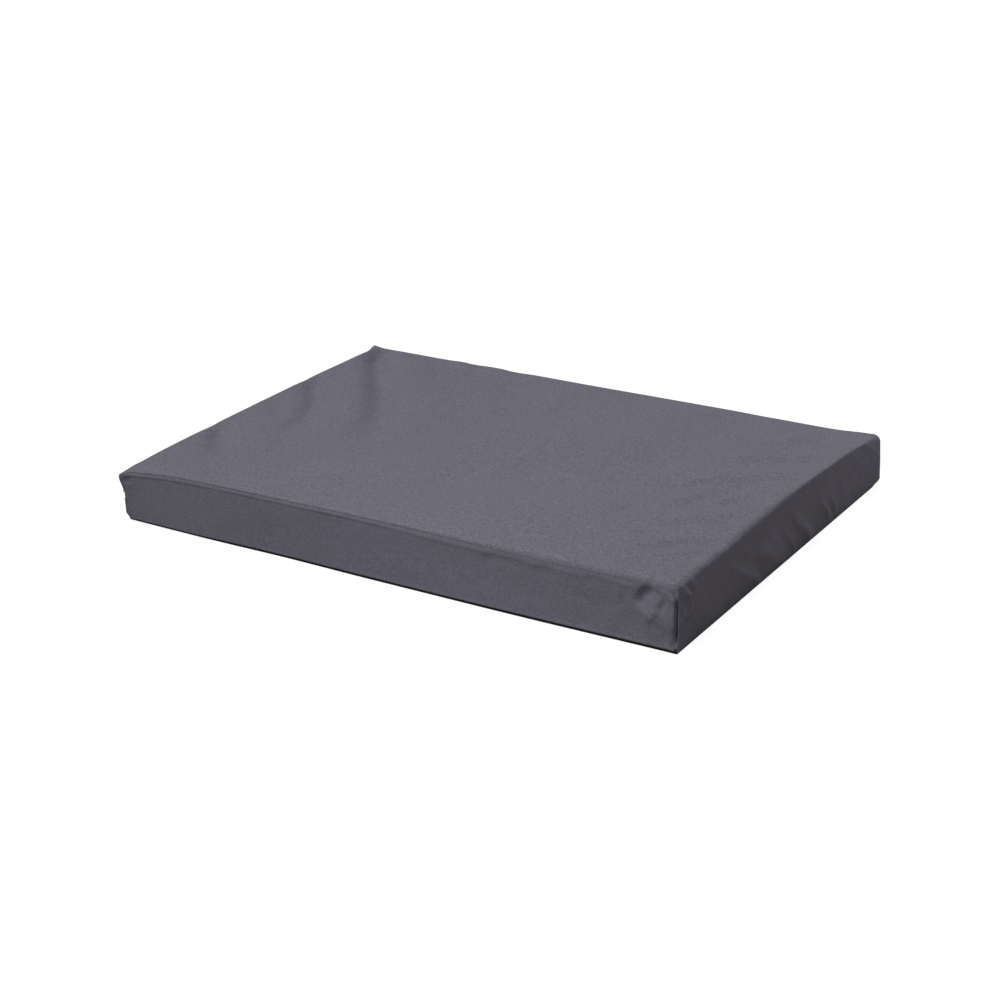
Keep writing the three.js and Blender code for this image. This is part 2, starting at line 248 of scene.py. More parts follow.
# ---- lines pressed into or raised on a face -------------------------------------
def along(x, y, line):
    """Signed distance from a bent line (positive on its left) and how far along it, 0 to 1."""
    steps = np.diff(line, axis=0)
    lengths = np.hypot(steps[:, 0], steps[:, 1])
    starts = np.concatenate([[0], np.cumsum(lengths)])
    nearest = np.full(np.shape(x), np.inf)
    offset = np.zeros(np.shape(x))
    travel = np.zeros(np.shape(x))
    last = len(steps) - 1
    for i, (step, length) in enumerate(zip(steps, lengths)):
        from_x, from_y = x - line[i, 0], y - line[i, 1]
        part = (from_x * step[0] + from_y * step[1]) / length**2
        # the first and last pieces run on beyond the line's ends
        part = np.clip(part, -9 if i == 0 else 0, 9 if i == last else 1)
        away = np.hypot(from_x - part * step[0], from_y - part * step[1])
        side = np.sign(step[0] * from_y - step[1] * from_x)
        hit = away < nearest
        nearest = np.where(hit, away, nearest)
        offset = np.where(hit, away * side, offset)
        travel = np.where(hit, (starts[i] + part * length) / starts[-1], travel)
    return offset, travel


def stroke(x, y, line, height, left, right, fade_in, fade_out, wobble):
    """A ridge (height above 0) or valley along a bent line, in mm.

    x and y are metres within the face; line, height, wobble and the widths left and right are mm.
    """
    x = x + wobble * MM * noise2(x / 0.035, y / 0.035, 17.0)
    y = y + wobble * MM * noise3(x / 0.035, y / 0.035, 19.0)
    offset, travel = along(x, y, np.asarray(line, float) * MM)
    width = np.where(offset > 0, left, right) * MM * (0.85 + 0.45 * np.clip(travel, 0, 1))
    ends = rise(-fade_in, fade_in, travel) * fall(1 - fade_out, 1 + fade_out, travel)
    return height * bell(offset, 0, width) * ends


# Line tables: points of the line, height, width on its left, width on its right, fade in, fade out

# x and y on the lying surface: drag lines from the loose left end, and faint wrinkles
TOP_DRAG_LINES = (
    (
        ((-489, 362), (-423, 266), (-384, 211), (-328, 127), (-282, 54), (-254, -8)),
        -19.5, 31, 22, 0.02, 0.55,
    ),
    (
        ((-499, 145), (-460, 107), (-427, 61), (-400, 10), (-378, -44), (-362, -100)),
        -12.0, 34, 17, 0.04, 0.75,
    ),
    (((-505, -142), (-470, -170), (-440, -206), (-418, -250)), -10.5, 30, 16, 0.05, 0.60),
    (((-366, 380), (-304, 300), (-276, 236)), -3.0, 30, 18, 0.1, 0.4),
    (((-284, 380), (-232, 306)), -2.2, 20, 14, 0.1, 0.4),
    (((-196, 380), (-156, 296), (-120, 214)), -2.8, 28, 18, 0.1, 0.4),
    (((-500, 22), (-455, -14), (-420, -70)), -2.4, 18, 13, 0.05, 0.4),
    (((190, 306), (250, 326), (310, 350)), -1.6, 15, 12, 0.2, 0.3),
    (((196, 194), (260, 222)), -1.6, 14, 11, 0.2, 0.3),
    (((292, -166), (334, -128)), -3.8, 12, 11, 0.2, 0.3),
    (((250, 60), (300, 96)), -2.0, 12, 10, 0.2, 0.3),
)
# x and y of the wrinkles near the right end
TOP_RIGHT_WRINKLES = (
    (((330, -18), (372, 16), (424, 54), (476, 86)), -6.21, 12, 11, 0.18, 0.25),
    (((352, 124), (410, 156), (484, 192)), -5.52, 12, 11, 0.18, 0.25),
    (((360, -108), (395, -50), (425, 2)), -4.14, 15, 14, 0.2, 0.3),
    (((388, -178), (430, -152), (474, -118)), -5.75, 12, 11, 0.2, 0.25),
    (((402, -274), (448, -242), (492, -208)), -5.75, 12, 11, 0.2, 0.25),
    (((400, -334), (442, -308), (486, -280)), -4.83, 11, 10, 0.2, 0.2),
    (((424, -60), (470, -18)), -4.6, 12, 10, 0.2, 0.3),
    (((404, 262), (446, 300)), -3.91, 14, 12, 0.2, 0.3),
    (((330, -226), (372, -206)), -2.3, 12, 10, 0.2, 0.3),
)
# x and z on the front panel
FRONT_LINES = (
    (((434, 60), (447, 79), (462, 106)), -6.4, 7, 13, 0.15, 0.04),
    (((452, 38), (462, 52), (472, 68)), 2.8, 7.0, 4.5, 0.4, 0.25),
    (((470, 88), (484, 78), (496, 70)), 1.6, 6.0, 5.0, 0.2, 0.3),
    (((476, 68), (469, 56)), -4.0, 5.0, 5.0, 0.3, 0.3),
    (((176, 74), (204, 84), (236, 78)), -1.3, 9, 11, 0.2, 0.3),
    (((262, 70), (290, 84)), -1.0, 9, 10, 0.2, 0.3),
    (((348, 78), (376, 88)), -1.2, 8, 9, 0.2, 0.3),
    (((396, 60), (412, 84)), 0.9, 8, 7, 0.2, 0.3),
)
# y and z on the right end: puckers that run down to the foot seam
END_PUCKERS = (
    (((-206, 70), (-162, 44), (-122, 22), (-96, 0)), 6.6, 9, 8, 0.15, 0.05),
    (((-104, 54), (-66, 38), (-30, 22), (-6, 8)), 6.6, 20, 10, 0.12, 0.25),
    (((-4, 50), (20, 30), (42, 0)), 4.0, 9, 6, 0.2, 0.05),
    (((30, 66), (70, 36), (106, 0)), 7.6, 10, 8, 0.12, 0.05),
    (((136, 62), (160, 36), (178, 0)), 5.0, 10, 6, 0.2, 0.05),
    (((182, 50), (198, 30), (211, 0)), 4.0, 9, 6, 0.2, 0.05),
    (((228, 62), (246, 32), (256, 0)), 1.8, 8, 9, 0.2, 0.1),
    (((-300, 34), (-262, 16), (-238, 0)), 2.6, 10, 12, 0.2, 0.05),
)
# y and z of the right end's higher folds, most of them towards its corners
END_FOLDS = (
    (((-66, 72), (-40, 52), (-22, 40)), 1.6, 6, 7, 0.2, 0.3),
    (((-178, 96), (-150, 72), (-128, 58)), 1.2, 8, 9, 0.2, 0.3),
    (((270, 96), (310, 66), (340, 50)), 1.2, 9, 10, 0.2, 0.3),
    (((322, 98), (350, 72), (374, 40)), 2.4, 8, 11, 0.2, 0.2),
    (((-372, 96), (-356, 82), (-342, 68)), 5.5, 4.5, 4.0, 0.2, 0.2),
    (((-356, 80), (-340, 62), (-334, 52)), 4.5, 4.5, 4.0, 0.2, 0.3),
    (((-336, 92), (-320, 74)), 3.2, 5.5, 5.0, 0.2, 0.3),
    (((-370, 62), (-352, 58)), 4.0, 3.5, 5.0, 0.2, 0.3),
    (((-362, 46), (-330, 40)), -3.0, 6.0, 5.0, 0.2, 0.3),
)


# ---- relief of each face: how far it stands out, in mm --------------------------
def top_relief(x, y):
    """Soft undulations, drag lines and faint wrinkles of the lying surface."""
    inner = rise(0.0, 0.09, HALF_X - np.abs(x)) * rise(0.0, 0.09, HALF_Y - np.abs(y))
    height = 1.2 * noise1(x / 0.21, y / 0.17, 0.3) * inner
    ripple = 0.55 * noise2(x / 0.085, y / 0.11, 1.7) + 0.22 * noise4(x / 0.034, y / 0.040, 5.2)
    height = height + ripple * (0.3 + 0.7 * inner)
    # the padding stands higher than its front edge
    middle = rise(-0.52, -0.28, x) * (1 - 0.6 * rise(0.15, 0.5, x))
    from_front = y + HALF_Y
    height = height + (3.0 * rise(0.004, 0.085, from_front) + 1.8 * rise(0.002, 0.042, from_front)) * middle
    off_left_edge = 0.10 + 0.90 * rise(0.004, 0.034, x + HALF_X)
    for row in TOP_DRAG_LINES:
        height = height + stroke(x, y, *row, wobble=2.0) * off_left_edge
    off_right_edge = rise(0.004, 0.05, HALF_X - x)
    for row in TOP_RIGHT_WRINKLES:
        height = height + stroke(x, y, *row, wobble=2.0)
        # a slack ridge lies along the upper side of each wrinkle
        line, depth, _, _, fade_in, fade_out = row
        ridge = stroke(x + 0.012, y - 0.017, line, -0.5 * depth, 11, 13, fade_in, fade_out, wobble=2.0)
        height = height + ridge * off_right_edge
    # fine cross wrinkles towards the right end
    across = (y * 0.86 - x * 0.50) / 0.024 + 0.5 * noise1(x / 0.1, y / 0.1, 4.0)
    fine = noise3(across, (x * 0.86 + y * 0.5) / 0.085, 2.0)
    height = height + 1.05 * rise(0.20, 0.42, x) * fine
    return height + draped("top", x, y) * (0.10 + 0.22 * rise(0.20, 0.40, x)) * inner


def front_relief(x, z):
    """A slight belly, undulations, and crumples by the right corner."""
    up = z / HEIGHT
    height = (0.6 - 1.5 * rise(-0.42, 0.12, x)) * np.sin(np.pi * np.clip(up, 0, 1)) ** 1.2
    height = height + 1.7 * rise(-0.30, 0.15, x) * (up - 0.5)
    height = height + 0.8 * noise2(x / 0.17, z / 0.09, 5.0) + 0.25 * noise4(x / 0.04, z / 0.03, 6.0)
    height = height + 0.5 * rise(0.05, 0.3, x) * noise3(x / 0.035, z / 0.028, 8.0)
    for row in FRONT_LINES:
        height = height + stroke(x, z, *row, wobble=1.2)
    # by the right corner the cloth is crumpled, and draws in towards the foot
    crumple = noise3(x / 0.016 + 0.8 * noise1(x / 0.03, z / 0.03, 9.0), z / 0.020, 7.0)
    height = height + 0.9 * rise(0.40, 0.47, x) * folded(crumple) * rise(0.040, 0.060, z)
    crest = 0.046 - 0.25 * np.clip(x - 0.455, -0.02, 0.03)
    climb = 0.40 * np.clip(z / (crest - 0.012), 0, 1) + 0.60 * rise(crest - 0.013, crest, z)
    height = height + 3.2 * rise(0.418, 0.452, x) * climb * fall(crest, crest + 0.040, z)
    # the lower left end of the panel curves away into its corner
    height = height - 2.2 * fall(0.0, 0.024, x + HALF_X) * fall(0.035, 0.070, z)
    # the dent under the front left point
    height = height - 3.2 * bell(x, -0.492, 0.0045) * bell(z, 0.082, 0.0055)
    return height + draped("front", x, z) * (0.10 + 0.20 * rise(0.30, 0.46, x))


def back_relief(x, z):
    """A belly, undulations, and slanted puckers towards both ends."""
    belly = 1.6 * np.sin(np.pi * np.clip(z / HEIGHT, 0, 1)) ** 1.2
    height = belly + 0.9 * noise2(x / 0.14, z / 0.08, 15.0)
    pucker = folded(noise3((x - 0.3 * z) / 0.035, z / 0.09, 14.0))
    height = height + 0.9 * pucker * rise(0.30, 0.48, np.abs(x)) * rise(0.0, 0.02, z)
    return height + 0.45 * draped("back", x, z)


def end_relief(y, z):
    """The right end: puckers gathered by the foot seam, and drag folds by the corners."""
    belly = 1.6 * np.sin(np.pi * np.clip(z / HEIGHT, 0, 1)) ** 0.9
    height = belly + 0.8 * noise1(y / 0.15, z / 0.1, 6.0)
    # the fold over the edge bulges a little beyond the face below it
    height = height + 1.5 * bell(z, 0.097, 0.012) * (1 - 0.7 * rise(-0.1, 0.25, y))
    by_foot = rise(0.0, 0.017, z) * (1 - 0.62 * rise(0.028, 0.070, z))
    for table, strength in ((END_PUCKERS, by_foot), (END_FOLDS, 1.0)):
        for row in table:
            height = height + stroke(y, z, *row, wobble=4.0) * strength
    # fine gathers, slanted
    skew = y + 0.75 * z + 0.006 * noise2(y / 0.05, z / 0.03, 8.0)
    middle = rise(-0.26, -0.16, y) * fall(0.22, 0.30, y)
    gather = folded(noise3(skew / 0.024, z / 0.12, 1.0)) * fall(0.010, 0.060, z)
    height = height + 1.1 * gather * (0.35 + 0.65 * middle)
    height = height + 0.55 * noise2(skew / 0.011, z / 0.05, 3.0) * fall(0.008, 0.035, z)
    height = height + 0.35 * noise4(skew / 0.018, z / 0.10, 11.0)
    return height + draped("right", y, z) * 0.22


# ---- box meshes -----------------------------------------------------------------
def box_shell(counts, bottom):
    """Grid places (i, j, k) and faces of a divided box, with or without its bottom."""
    nx, ny, nz = counts
    places, faces = {}, []

    def spot(i, j, k):
        return places.setdefault((i, j, k), len(places))

    for i in range(nx):
        for j in range(ny):
            if bottom:
                faces.append((spot(i, j, 0), spot(i, j + 1, 0), spot(i + 1, j + 1, 0), spot(i + 1, j, 0)))
            faces.append((spot(i, j, nz), spot(i + 1, j, nz), spot(i + 1, j + 1, nz), spot(i, j + 1, nz)))
        for k in range(nz):
            faces.append((spot(i, 0, k), spot(i + 1, 0, k), spot(i + 1, 0, k + 1), spot(i, 0, k + 1)))
            faces.append((spot(i, ny, k), spot(i, ny, k + 1), spot(i + 1, ny, k + 1), spot(i + 1, ny, k)))
    for j in range(ny):
        for k in range(nz):
            faces.append((spot(0, j, k), spot(0, j, k + 1), spot(0, j + 1, k + 1), spot(0, j + 1, k)))
            faces.append((spot(nx, j, k), spot(nx, j + 1, k), spot(nx, j + 1, k + 1), spot(nx, j, k + 1)))
    return np.array(list(places)), faces


def round_edges(points, low, high, radius):
    """Pulls points near a box's edges in to a radius; low and high bound the box less that radius."""
    core = np.clip(points, low, high)
    out = points - core
    length = np.linalg.norm(out, axis=1)
    on_edge = (np.abs(out) > 1e-9).sum(1) > 1
    return np.where(on_edge[:, None], core + out / np.maximum(length, 1e-9)[:, None] * radius, points)


def assign(thing, **values):
    for name, value in values.items():
        setattr(thing, name, value)


# ---- drape of the loose cover ---------------------------------------------------
def hold_weights(grid, nx, ny, nz):
    """How firmly each point of the cloth is held: fully along its foot, loosely elsewhere."""
    top = grid[:, Z] == nz
    from_end = np.minimum(grid[:, X], nx - grid[:, X]) / nx * 2 * HALF_X
    from_side = np.minimum(grid[:, Y], ny - grid[:, Y]) / ny * 2 * HALF_Y
    inward = np.clip(np.minimum(from_end, from_side) / 0.15, 0, 1)
    weights = np.where(top, 0.05 + 0.15 * inward, 0.05)
    weights = np.where(top & ((from_end < 1e-6) | (from_side < 1e-6)), 0.25, weights)
    return np.where(grid[:, Z] == 0, 1.0, weights)


def add_cloth(shell, frames, grow):
    modifier = shell.modifiers.new("cloth", "CLOTH")
    assign(
        modifier.settings,
        quality=4, mass=0.25, air_damping=4,
        tension_stiffness=15, compression_stiffness=15, shear_stiffness=7.5, bending_stiffness=10,
        tension_damping=15, compression_damping=15, shear_damping=10, bending_damping=2,
        vertex_group_mass="hold", pin_stiffness=1.0,
        shrink_min=-grow, shrink_max=-grow,
        use_pressure=True, uniform_pressure_force=0.3,
    )
    modifier.settings.effector_weights.gravity = 0.0
    assign(modifier.collision_settings, use_collision=False, use_self_collision=False)
    assign(modifier.point_cache, frame_start=1, frame_end=frames)


def drape(nx=88, ny=66, nz=9, frames=30, grow=0.012):
    """A cloth run of the cover, cut a little too large and held along its foot.

    Gives each side's buckling as a grid in mm, with the ranges it covers.
    """
    grid, faces = box_shell((nx, ny, nz), bottom=False)
    points = np.stack(
        [-HALF_X + 2 * HALF_X * grid[:, X] / nx, -HALF_Y + 2 * HALF_Y * grid[:, Y] / ny, HEIGHT * grid[:, Z] / nz], 1
    )
    radius = 7 * MM
    low = np.array([-HALF_X + radius, -HALF_Y + radius, -1])
    high = np.array([HALF_X - radius, HALF_Y - radius, HEIGHT - radius])
    points = round_edges(points, low, high, radius)
    jitter = np.random.RandomState(5).normal(0, 0.00008, points.shape)
    mesh = bpy.data.meshes.new("drape")
    mesh.from_pydata([tuple(p) for p in points + jitter], [], faces)
    shell = bpy.data.objects.new("drape", mesh)
    scene = bpy.context.scene
    scene.collection.objects.link(shell)
    hold = shell.vertex_groups.new(name="hold")
    for i, weight in enumerate(hold_weights(grid, nx, ny, nz)):
        hold.add([i], float(weight), "REPLACE")
    add_cloth(shell, frames, grow)

    start, end, current = scene.frame_start, scene.frame_end, scene.frame_current
    scene.frame_start, scene.frame_end = 1, frames
    for i in range(1, frames + 1):
        scene.frame_set(i)
    settled = shell.evaluated_get(bpy.context.evaluated_depsgraph_get())
    settled_mesh = settled.to_mesh()
    places = np.empty(len(settled_mesh.vertices) * 3)
    settled_mesh.vertices.foreach_get("co", places)
    moved = (places.reshape(-1, 3) - points) / MM
    settled.to_mesh_clear()
    bpy.data.objects.remove(shell)
    bpy.data.meshes.remove(mesh)
    scene.frame_start, scene.frame_end = start, end
    scene.frame_set(current)
    if not np.isfinite(moved).all():  # the run may blow up; the cover then goes without it
        return None

    def side(chosen, axis_a, axis_b, outward):
        counts = (nx, ny, nz)
        field = np.zeros((counts[axis_a] + 1, counts[axis_b] + 1))
        field[grid[chosen, axis_a], grid[chosen, axis_b]] = outward[chosen]
        field = np.clip(field - field.mean(), -6, 6)
        for _ in range(2):
            field[1:-1] = (field[:-2] + 2 * field[1:-1] + field[2:]) / 4
            field[:, 1:-1] = (field[:, :-2] + 2 * field[:, 1:-1] + field[:, 2:]) / 4
        ranges = ((-HALF_X, HALF_X), (-HALF_Y, HALF_Y), (0, HEIGHT))
        return field, ranges[axis_a], ranges[axis_b]

    return {
        "top": side(grid[:, Z] == nz, X, Y, moved[:, Z]),
        "front": side(grid[:, Y] == 0, X, Z, -moved[:, Y]),
        "back": side(grid[:, Y] == ny, X, Z, moved[:, Y]),
        "right": side(grid[:, X] == nx, Y, Z, moved[:, X]),
    }


DRAPE = drape()


def draped(side, x, y):
    """The simulated buckling of one side of the cover, outwards, in mm."""
    if DRAPE is None:
        return 0.0
    field, *ranges = DRAPE[side]
    cells, parts = [], []
    for value, (low, high), count in zip((x, y), ranges, field.shape):
        place = np.clip((np.asarray(value) - low) / (high - low), 0, 1) * (count - 1)
        cell = np.minimum(place.astype(int), count - 2)
        cells.append(cell)
        parts.append(rise(0, 1, place - cell))
    (i, j), (part_x, part_y) = cells, parts
    near = field[i, j] * (1 - part_x) + field[i + 1, j] * part_x
    far = field[i, j + 1] * (1 - part_x) + field[i + 1, j + 1] * part_x
    return near * (1 - part_y) + far * part_y


# ---- mesh helpers ---------------------------------------------------------------
def mesh_object(name, points, faces, material, replaces=None):
    """A smooth-shaded mesh that rides on the mattress; all its faces have the same side count."""
    mesh = bpy.data.meshes.new(name)
    points = np.asarray(points, np.float32).reshape(-1, 3)
    faces = np.asarray(faces, np.int32)
    mesh.vertices.add(len(points))
    mesh.vertices.foreach_set("co", points.ravel())
    sides = faces.shape[1]
    mesh.loops.add(faces.size)
    mesh.loops.foreach_set("vertex_index", faces.ravel())
    mesh.polygons.add(len(faces))
    mesh.polygons.foreach_set("loop_start", np.arange(0, faces.size, sides, dtype=np.int32))
    mesh.polygons.foreach_set("loop_total", np.full(len(faces), sides, np.int32))
    mesh.update(calc_edges=True)
    mesh.validate()
    mesh.polygons.foreach_set("use_smooth", np.ones(len(mesh.polygons), bool))
    mesh.materials.append(material)
    piece = bpy.data.objects.new(name, mesh)
    bpy.context.scene.collection.objects.link(piece)
    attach(piece, ROOT)
    if replaces:
        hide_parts(replaces)


def grid_faces(rows, columns, flip=False, closed=False, start=0):
    """Quads of a grid; closed joins its last column to its first."""
    ids = np.arange(rows * columns).reshape(rows, columns) + start
    if closed:
        ids = np.concatenate([ids, ids[:, :1]], 1)
    corners = (ids[:-1, :-1], ids[1:, :-1], ids[1:, 1:], ids[:-1, 1:])
    faces = np.stack([c.ravel() for c in corners], 1)
    return faces[:, ::-1] if flip else faces


def sheet(name, points, material, replaces, flip=False, closed=False):
    """A mesh object from a grid of points."""
    faces = grid_faces(*points.shape[:2], flip=flip, closed=closed)
    mesh_object(name, points, faces, material, replaces)


def tube(path, across_a, across_b, sides):
    """Rings of points along a path; the two radius vectors are given at each of its points."""
    angle = np.linspace(0, 2 * math.pi, sides, endpoint=False)[None, :, None]
    return path[:, None] + np.cos(angle) * across_a[:, None] + np.sin(angle) * across_b[:, None]


# ---- cloth panels ---------------------------------------------------------------
def seam_turn(x):
    """Radius of the little turn in the seam itself: tighter towards the right."""
    return TURN * (1 - 0.5 * rise(-0.1, 0.35, x))


def front_roll(x):
    """Radius of the wrap panel's roll into its front seam: crisp at the left, soft to the right."""
    return FRONT_ROLL_LEFT + 7.6 * MM * rise(-0.12, 0.36, x)


def back_roll(x):
    return BACK_ROLL_LEFT + 3.0 * MM * rise(0.0, 0.4, x)


def wrap_curve():
    """The wrap panel's side line, from the right foot over the top to the zip.

    Columns: x, z and how deep its edges may roll.
    """
    points = []

    def line(start, end, step=CLOTH_STEP, deep=1.0, first=1):
        count = max(1, int(round(math.dist(start, end) / step)))
        for i in range(first, count + 1):
            x, z = (a + (b - a) * (i / count) for a, b in zip(start, end))
            points.append((x, z, deep))

    def arc(x, z, radius, start, end, count, deep=1.0):
        for i in range(1, count + 1):
            angle = math.radians(start + (end - start) * i / count)
            points.append((x + radius * math.cos(angle), z + radius * math.sin(angle), deep))

    foot = 0.8 * MM
    bend = 1.6 * MM
    hem_x = -HALF_X + 2 * HEM_FOLD
    hem_z = HEM_TOP + HEM_FOLD
    line((HALF_X - 9 * MM, foot), (HALF_X - bend, foot), step=2 * MM, deep=0.0, first=0)
    arc(HALF_X - bend, foot + bend, bend, -90, 0, 4, deep=0.25)
    line((HALF_X, foot + bend), (HALF_X, HEIGHT - FOLD), step=3.2 * MM)
    arc(HALF_X - FOLD, HEIGHT - FOLD, FOLD, 0, 90, 9)
    line((HALF_X - FOLD, HEIGHT), (-HALF_X + FOLD, HEIGHT))
    arc(-HALF_X + FOLD, HEIGHT - FOLD, FOLD, 90, 180, 8)
    line((-HALF_X, HEIGHT - FOLD), (-HALF_X, hem_z), step=3 * MM)
    arc(-HALF_X + HEM_FOLD, hem_z, HEM_FOLD, 180, 360, 6, deep=0.1)
    line((hem_x, hem_z), (hem_x, HEM_TOP + 11 * MM), step=3 * MM, deep=0.0)
    return np.array(points)


def edge_profile(roll, turn, arc_steps=7):
    """A panel edge's roll into its seam: outward y from the side plane, and depth."""
    flat = np.zeros_like(roll)
    profile = [(-roll + (roll - 0.020) * (1 - t), flat) for t in (0.0, 0.25, 0.5, 0.72, 0.88)]
    for i in range(arc_steps + 1):
        angle = math.pi / 2 * i / arc_steps
        profile.append((-roll + roll * math.sin(angle), roll - roll * math.cos(angle)))
    for i in range(1, 5):
        angle = math.pi / 2 + math.pi / 2 * i / 4
        profile.append((-turn + turn * math.sin(angle), roll - turn * math.cos(angle)))
    for inward in (4 * MM, 7 * MM):
        profile.append((flat - inward, roll + turn))
    return np.array([p[0] for p in profile]).T, np.array([p[1] for p in profile]).T


def wrap_edge(x, deep, roll, left_radius, right_radius):
    """edge_profile along one long edge of the wrap panel, eased to its end radii."""
    right = rise(HALF_X - 0.020, HALF_X - 0.004, x)
    left = fall(-HALF_X + 0.002, -HALF_X + 0.014, x)
    radius = roll(x) * (1 - right) + right_radius * right
    radius = radius * (1 - left) + left_radius * left
    outward, depth = edge_profile(radius * np.clip(deep, 0.12, 1), seam_turn(x))
    limit = np.where(deep > 0.5, 1, np.maximum(deep, 0.05) * 3 * MM)
    return outward, np.minimum(depth, limit[:, None])


def build_wrap(material):
    x, z, deep = wrap_curve().T
    run_x, run_z = np.gradient(x), np.gradient(z)
    length = np.hypot(run_x, run_z)
    normal_x, normal_z = (run_z / length)[:, None], (-run_x / length)[:, None]
    front, front_depth = wrap_edge(x, deep, front_roll, FRONT_ROLL_LEFT, FRONT_ROLL_RIGHT)
    back, back_depth = wrap_edge(x, deep, back_roll, BACK_ROLL_LEFT, BACK_ROLL_RIGHT)
    middle = spaced(-HALF_Y + 0.020, HALF_Y - 0.020, CLOTH_STEP)[1:-1]
    middle = np.tile(middle, (len(x), 1))
    y = np.concatenate([-(HALF_Y + front)[:, ::-1], middle, HALF_Y + back], 1)
    depth = np.concatenate([front_depth[:, ::-1], 0 * middle, back_depth], 1)
    side_y = np.abs(y)
    x, z = (np.broadcast_to(c[:, None], y.shape) for c in (x, z))
    # relief along the panel's own outward direction
    up = np.clip(normal_z, 0, 1) ** 2
    right = np.clip(normal_x, 0, 1) ** 2 * (x > 0)
    left = np.clip(-normal_x, 0, 1) ** 2 * (x < 0) * rise(HEM_TOP + 0.004, HEM_TOP + 0.030, z)
    off_end_seams = fall(HALF_Y - 0.02, HALF_Y - 0.002, side_y)
    left_relief = 0.9 * noise2(y / 0.07, z / 0.05, 12.0) * fall(HALF_Y - 0.02, HALF_Y, side_y)
    relief = (
        up * top_relief(x, y) * fall(HALF_Y - 0.012, HALF_Y - 0.001, side_y)
        + right * end_relief(y, z) * rise(0.001, 0.006, z) * off_end_seams
        + left * left_relief
    )
    out = relief * MM - depth
    # the slit at the front right corner gapes: the panel's edge stands back there
    gape = right * rise(0.010, 0.024, z) * fall(0.060, 0.078, z)
    moved_y = y + 3.0 * MM * gape * fall(0.0, 0.016, y + HALF_Y)
    points = warp(np.stack([x + normal_x * out, moved_y, z + normal_z * out], -1))
    sheet("cover_wrap_cloth", points, material, "cover_wrap_panel", flip=True)


# Distances of the finer grid lines from a side panel's edges, in metres
EDGE_STEPS = MM * np.array(
    [0, 0.3, 0.8, 1.4, 2.0, 2.6, 3.3, 4.1, 5.0, 5.9, 6.8, 7.7, 8.6, 10.0, 12.0, 15.0]
)


def panel_top(x, roll, left_gap, right_gap):
    """Height of a side panel's upper edge: it follows the wrap panel's roll, rounded at both ends."""
    drop = roll(x) + seam_turn(x) + SEAM_GAP
    drop = drop + (right_gap - drop) * rise(HALF_X - 0.030, HALF_X - 0.010, x)
    drop = drop + (left_gap - drop) * fall(-HALF_X + 0.006, -HALF_X + 0.018, x)
    height = HEIGHT - drop
    for gap, beyond in ((right_gap, x - (HALF_X - FOLD)), (left_gap, (-HALF_X + FOLD) - x)):
        bend = HEIGHT - FOLD + np.sqrt(np.clip((FOLD - gap) ** 2 - beyond**2, 0, None))
        height = np.where(beyond > 0, np.minimum(height, bend), height)
    return height


def seam_groove(z, is_front, soft, to_top, to_right, to_left, to_bottom):
    """How deep a side panel sinks into its four seams; distances and result in mm."""
    corner = rise(0.064, 0.080, z)
    slit = rise(0.010, 0.026, z) * (1 - corner)
    top = (0.45 - 0.30 * soft) * fall(0.0, 1.3, to_top)
    right = (0.3 * (1 - corner) + 6.6 * slit) * fall(1.8, 5.6, to_right)
    right = right + (0.8 - 0.5 * corner + 2.4 * slit) * fall(0.0, 9.0, to_right)
    if is_front:  # below the slit the panel turns in towards its corner
        turned_in = (0.4 + 4.6 * rise(0.002, 0.012, z)) * fall(0.0, 12.0, to_right)
        right = right + turned_in * fall(0.016, 0.040, z)
    else:
        right = right * 0.4
    left = 0.8 * fall(0.0, 1.5, to_left)
    bottom = 0.5 * fall(0.0, 1.5, to_bottom)
    return np.maximum.reduce([top, right, left, bottom])


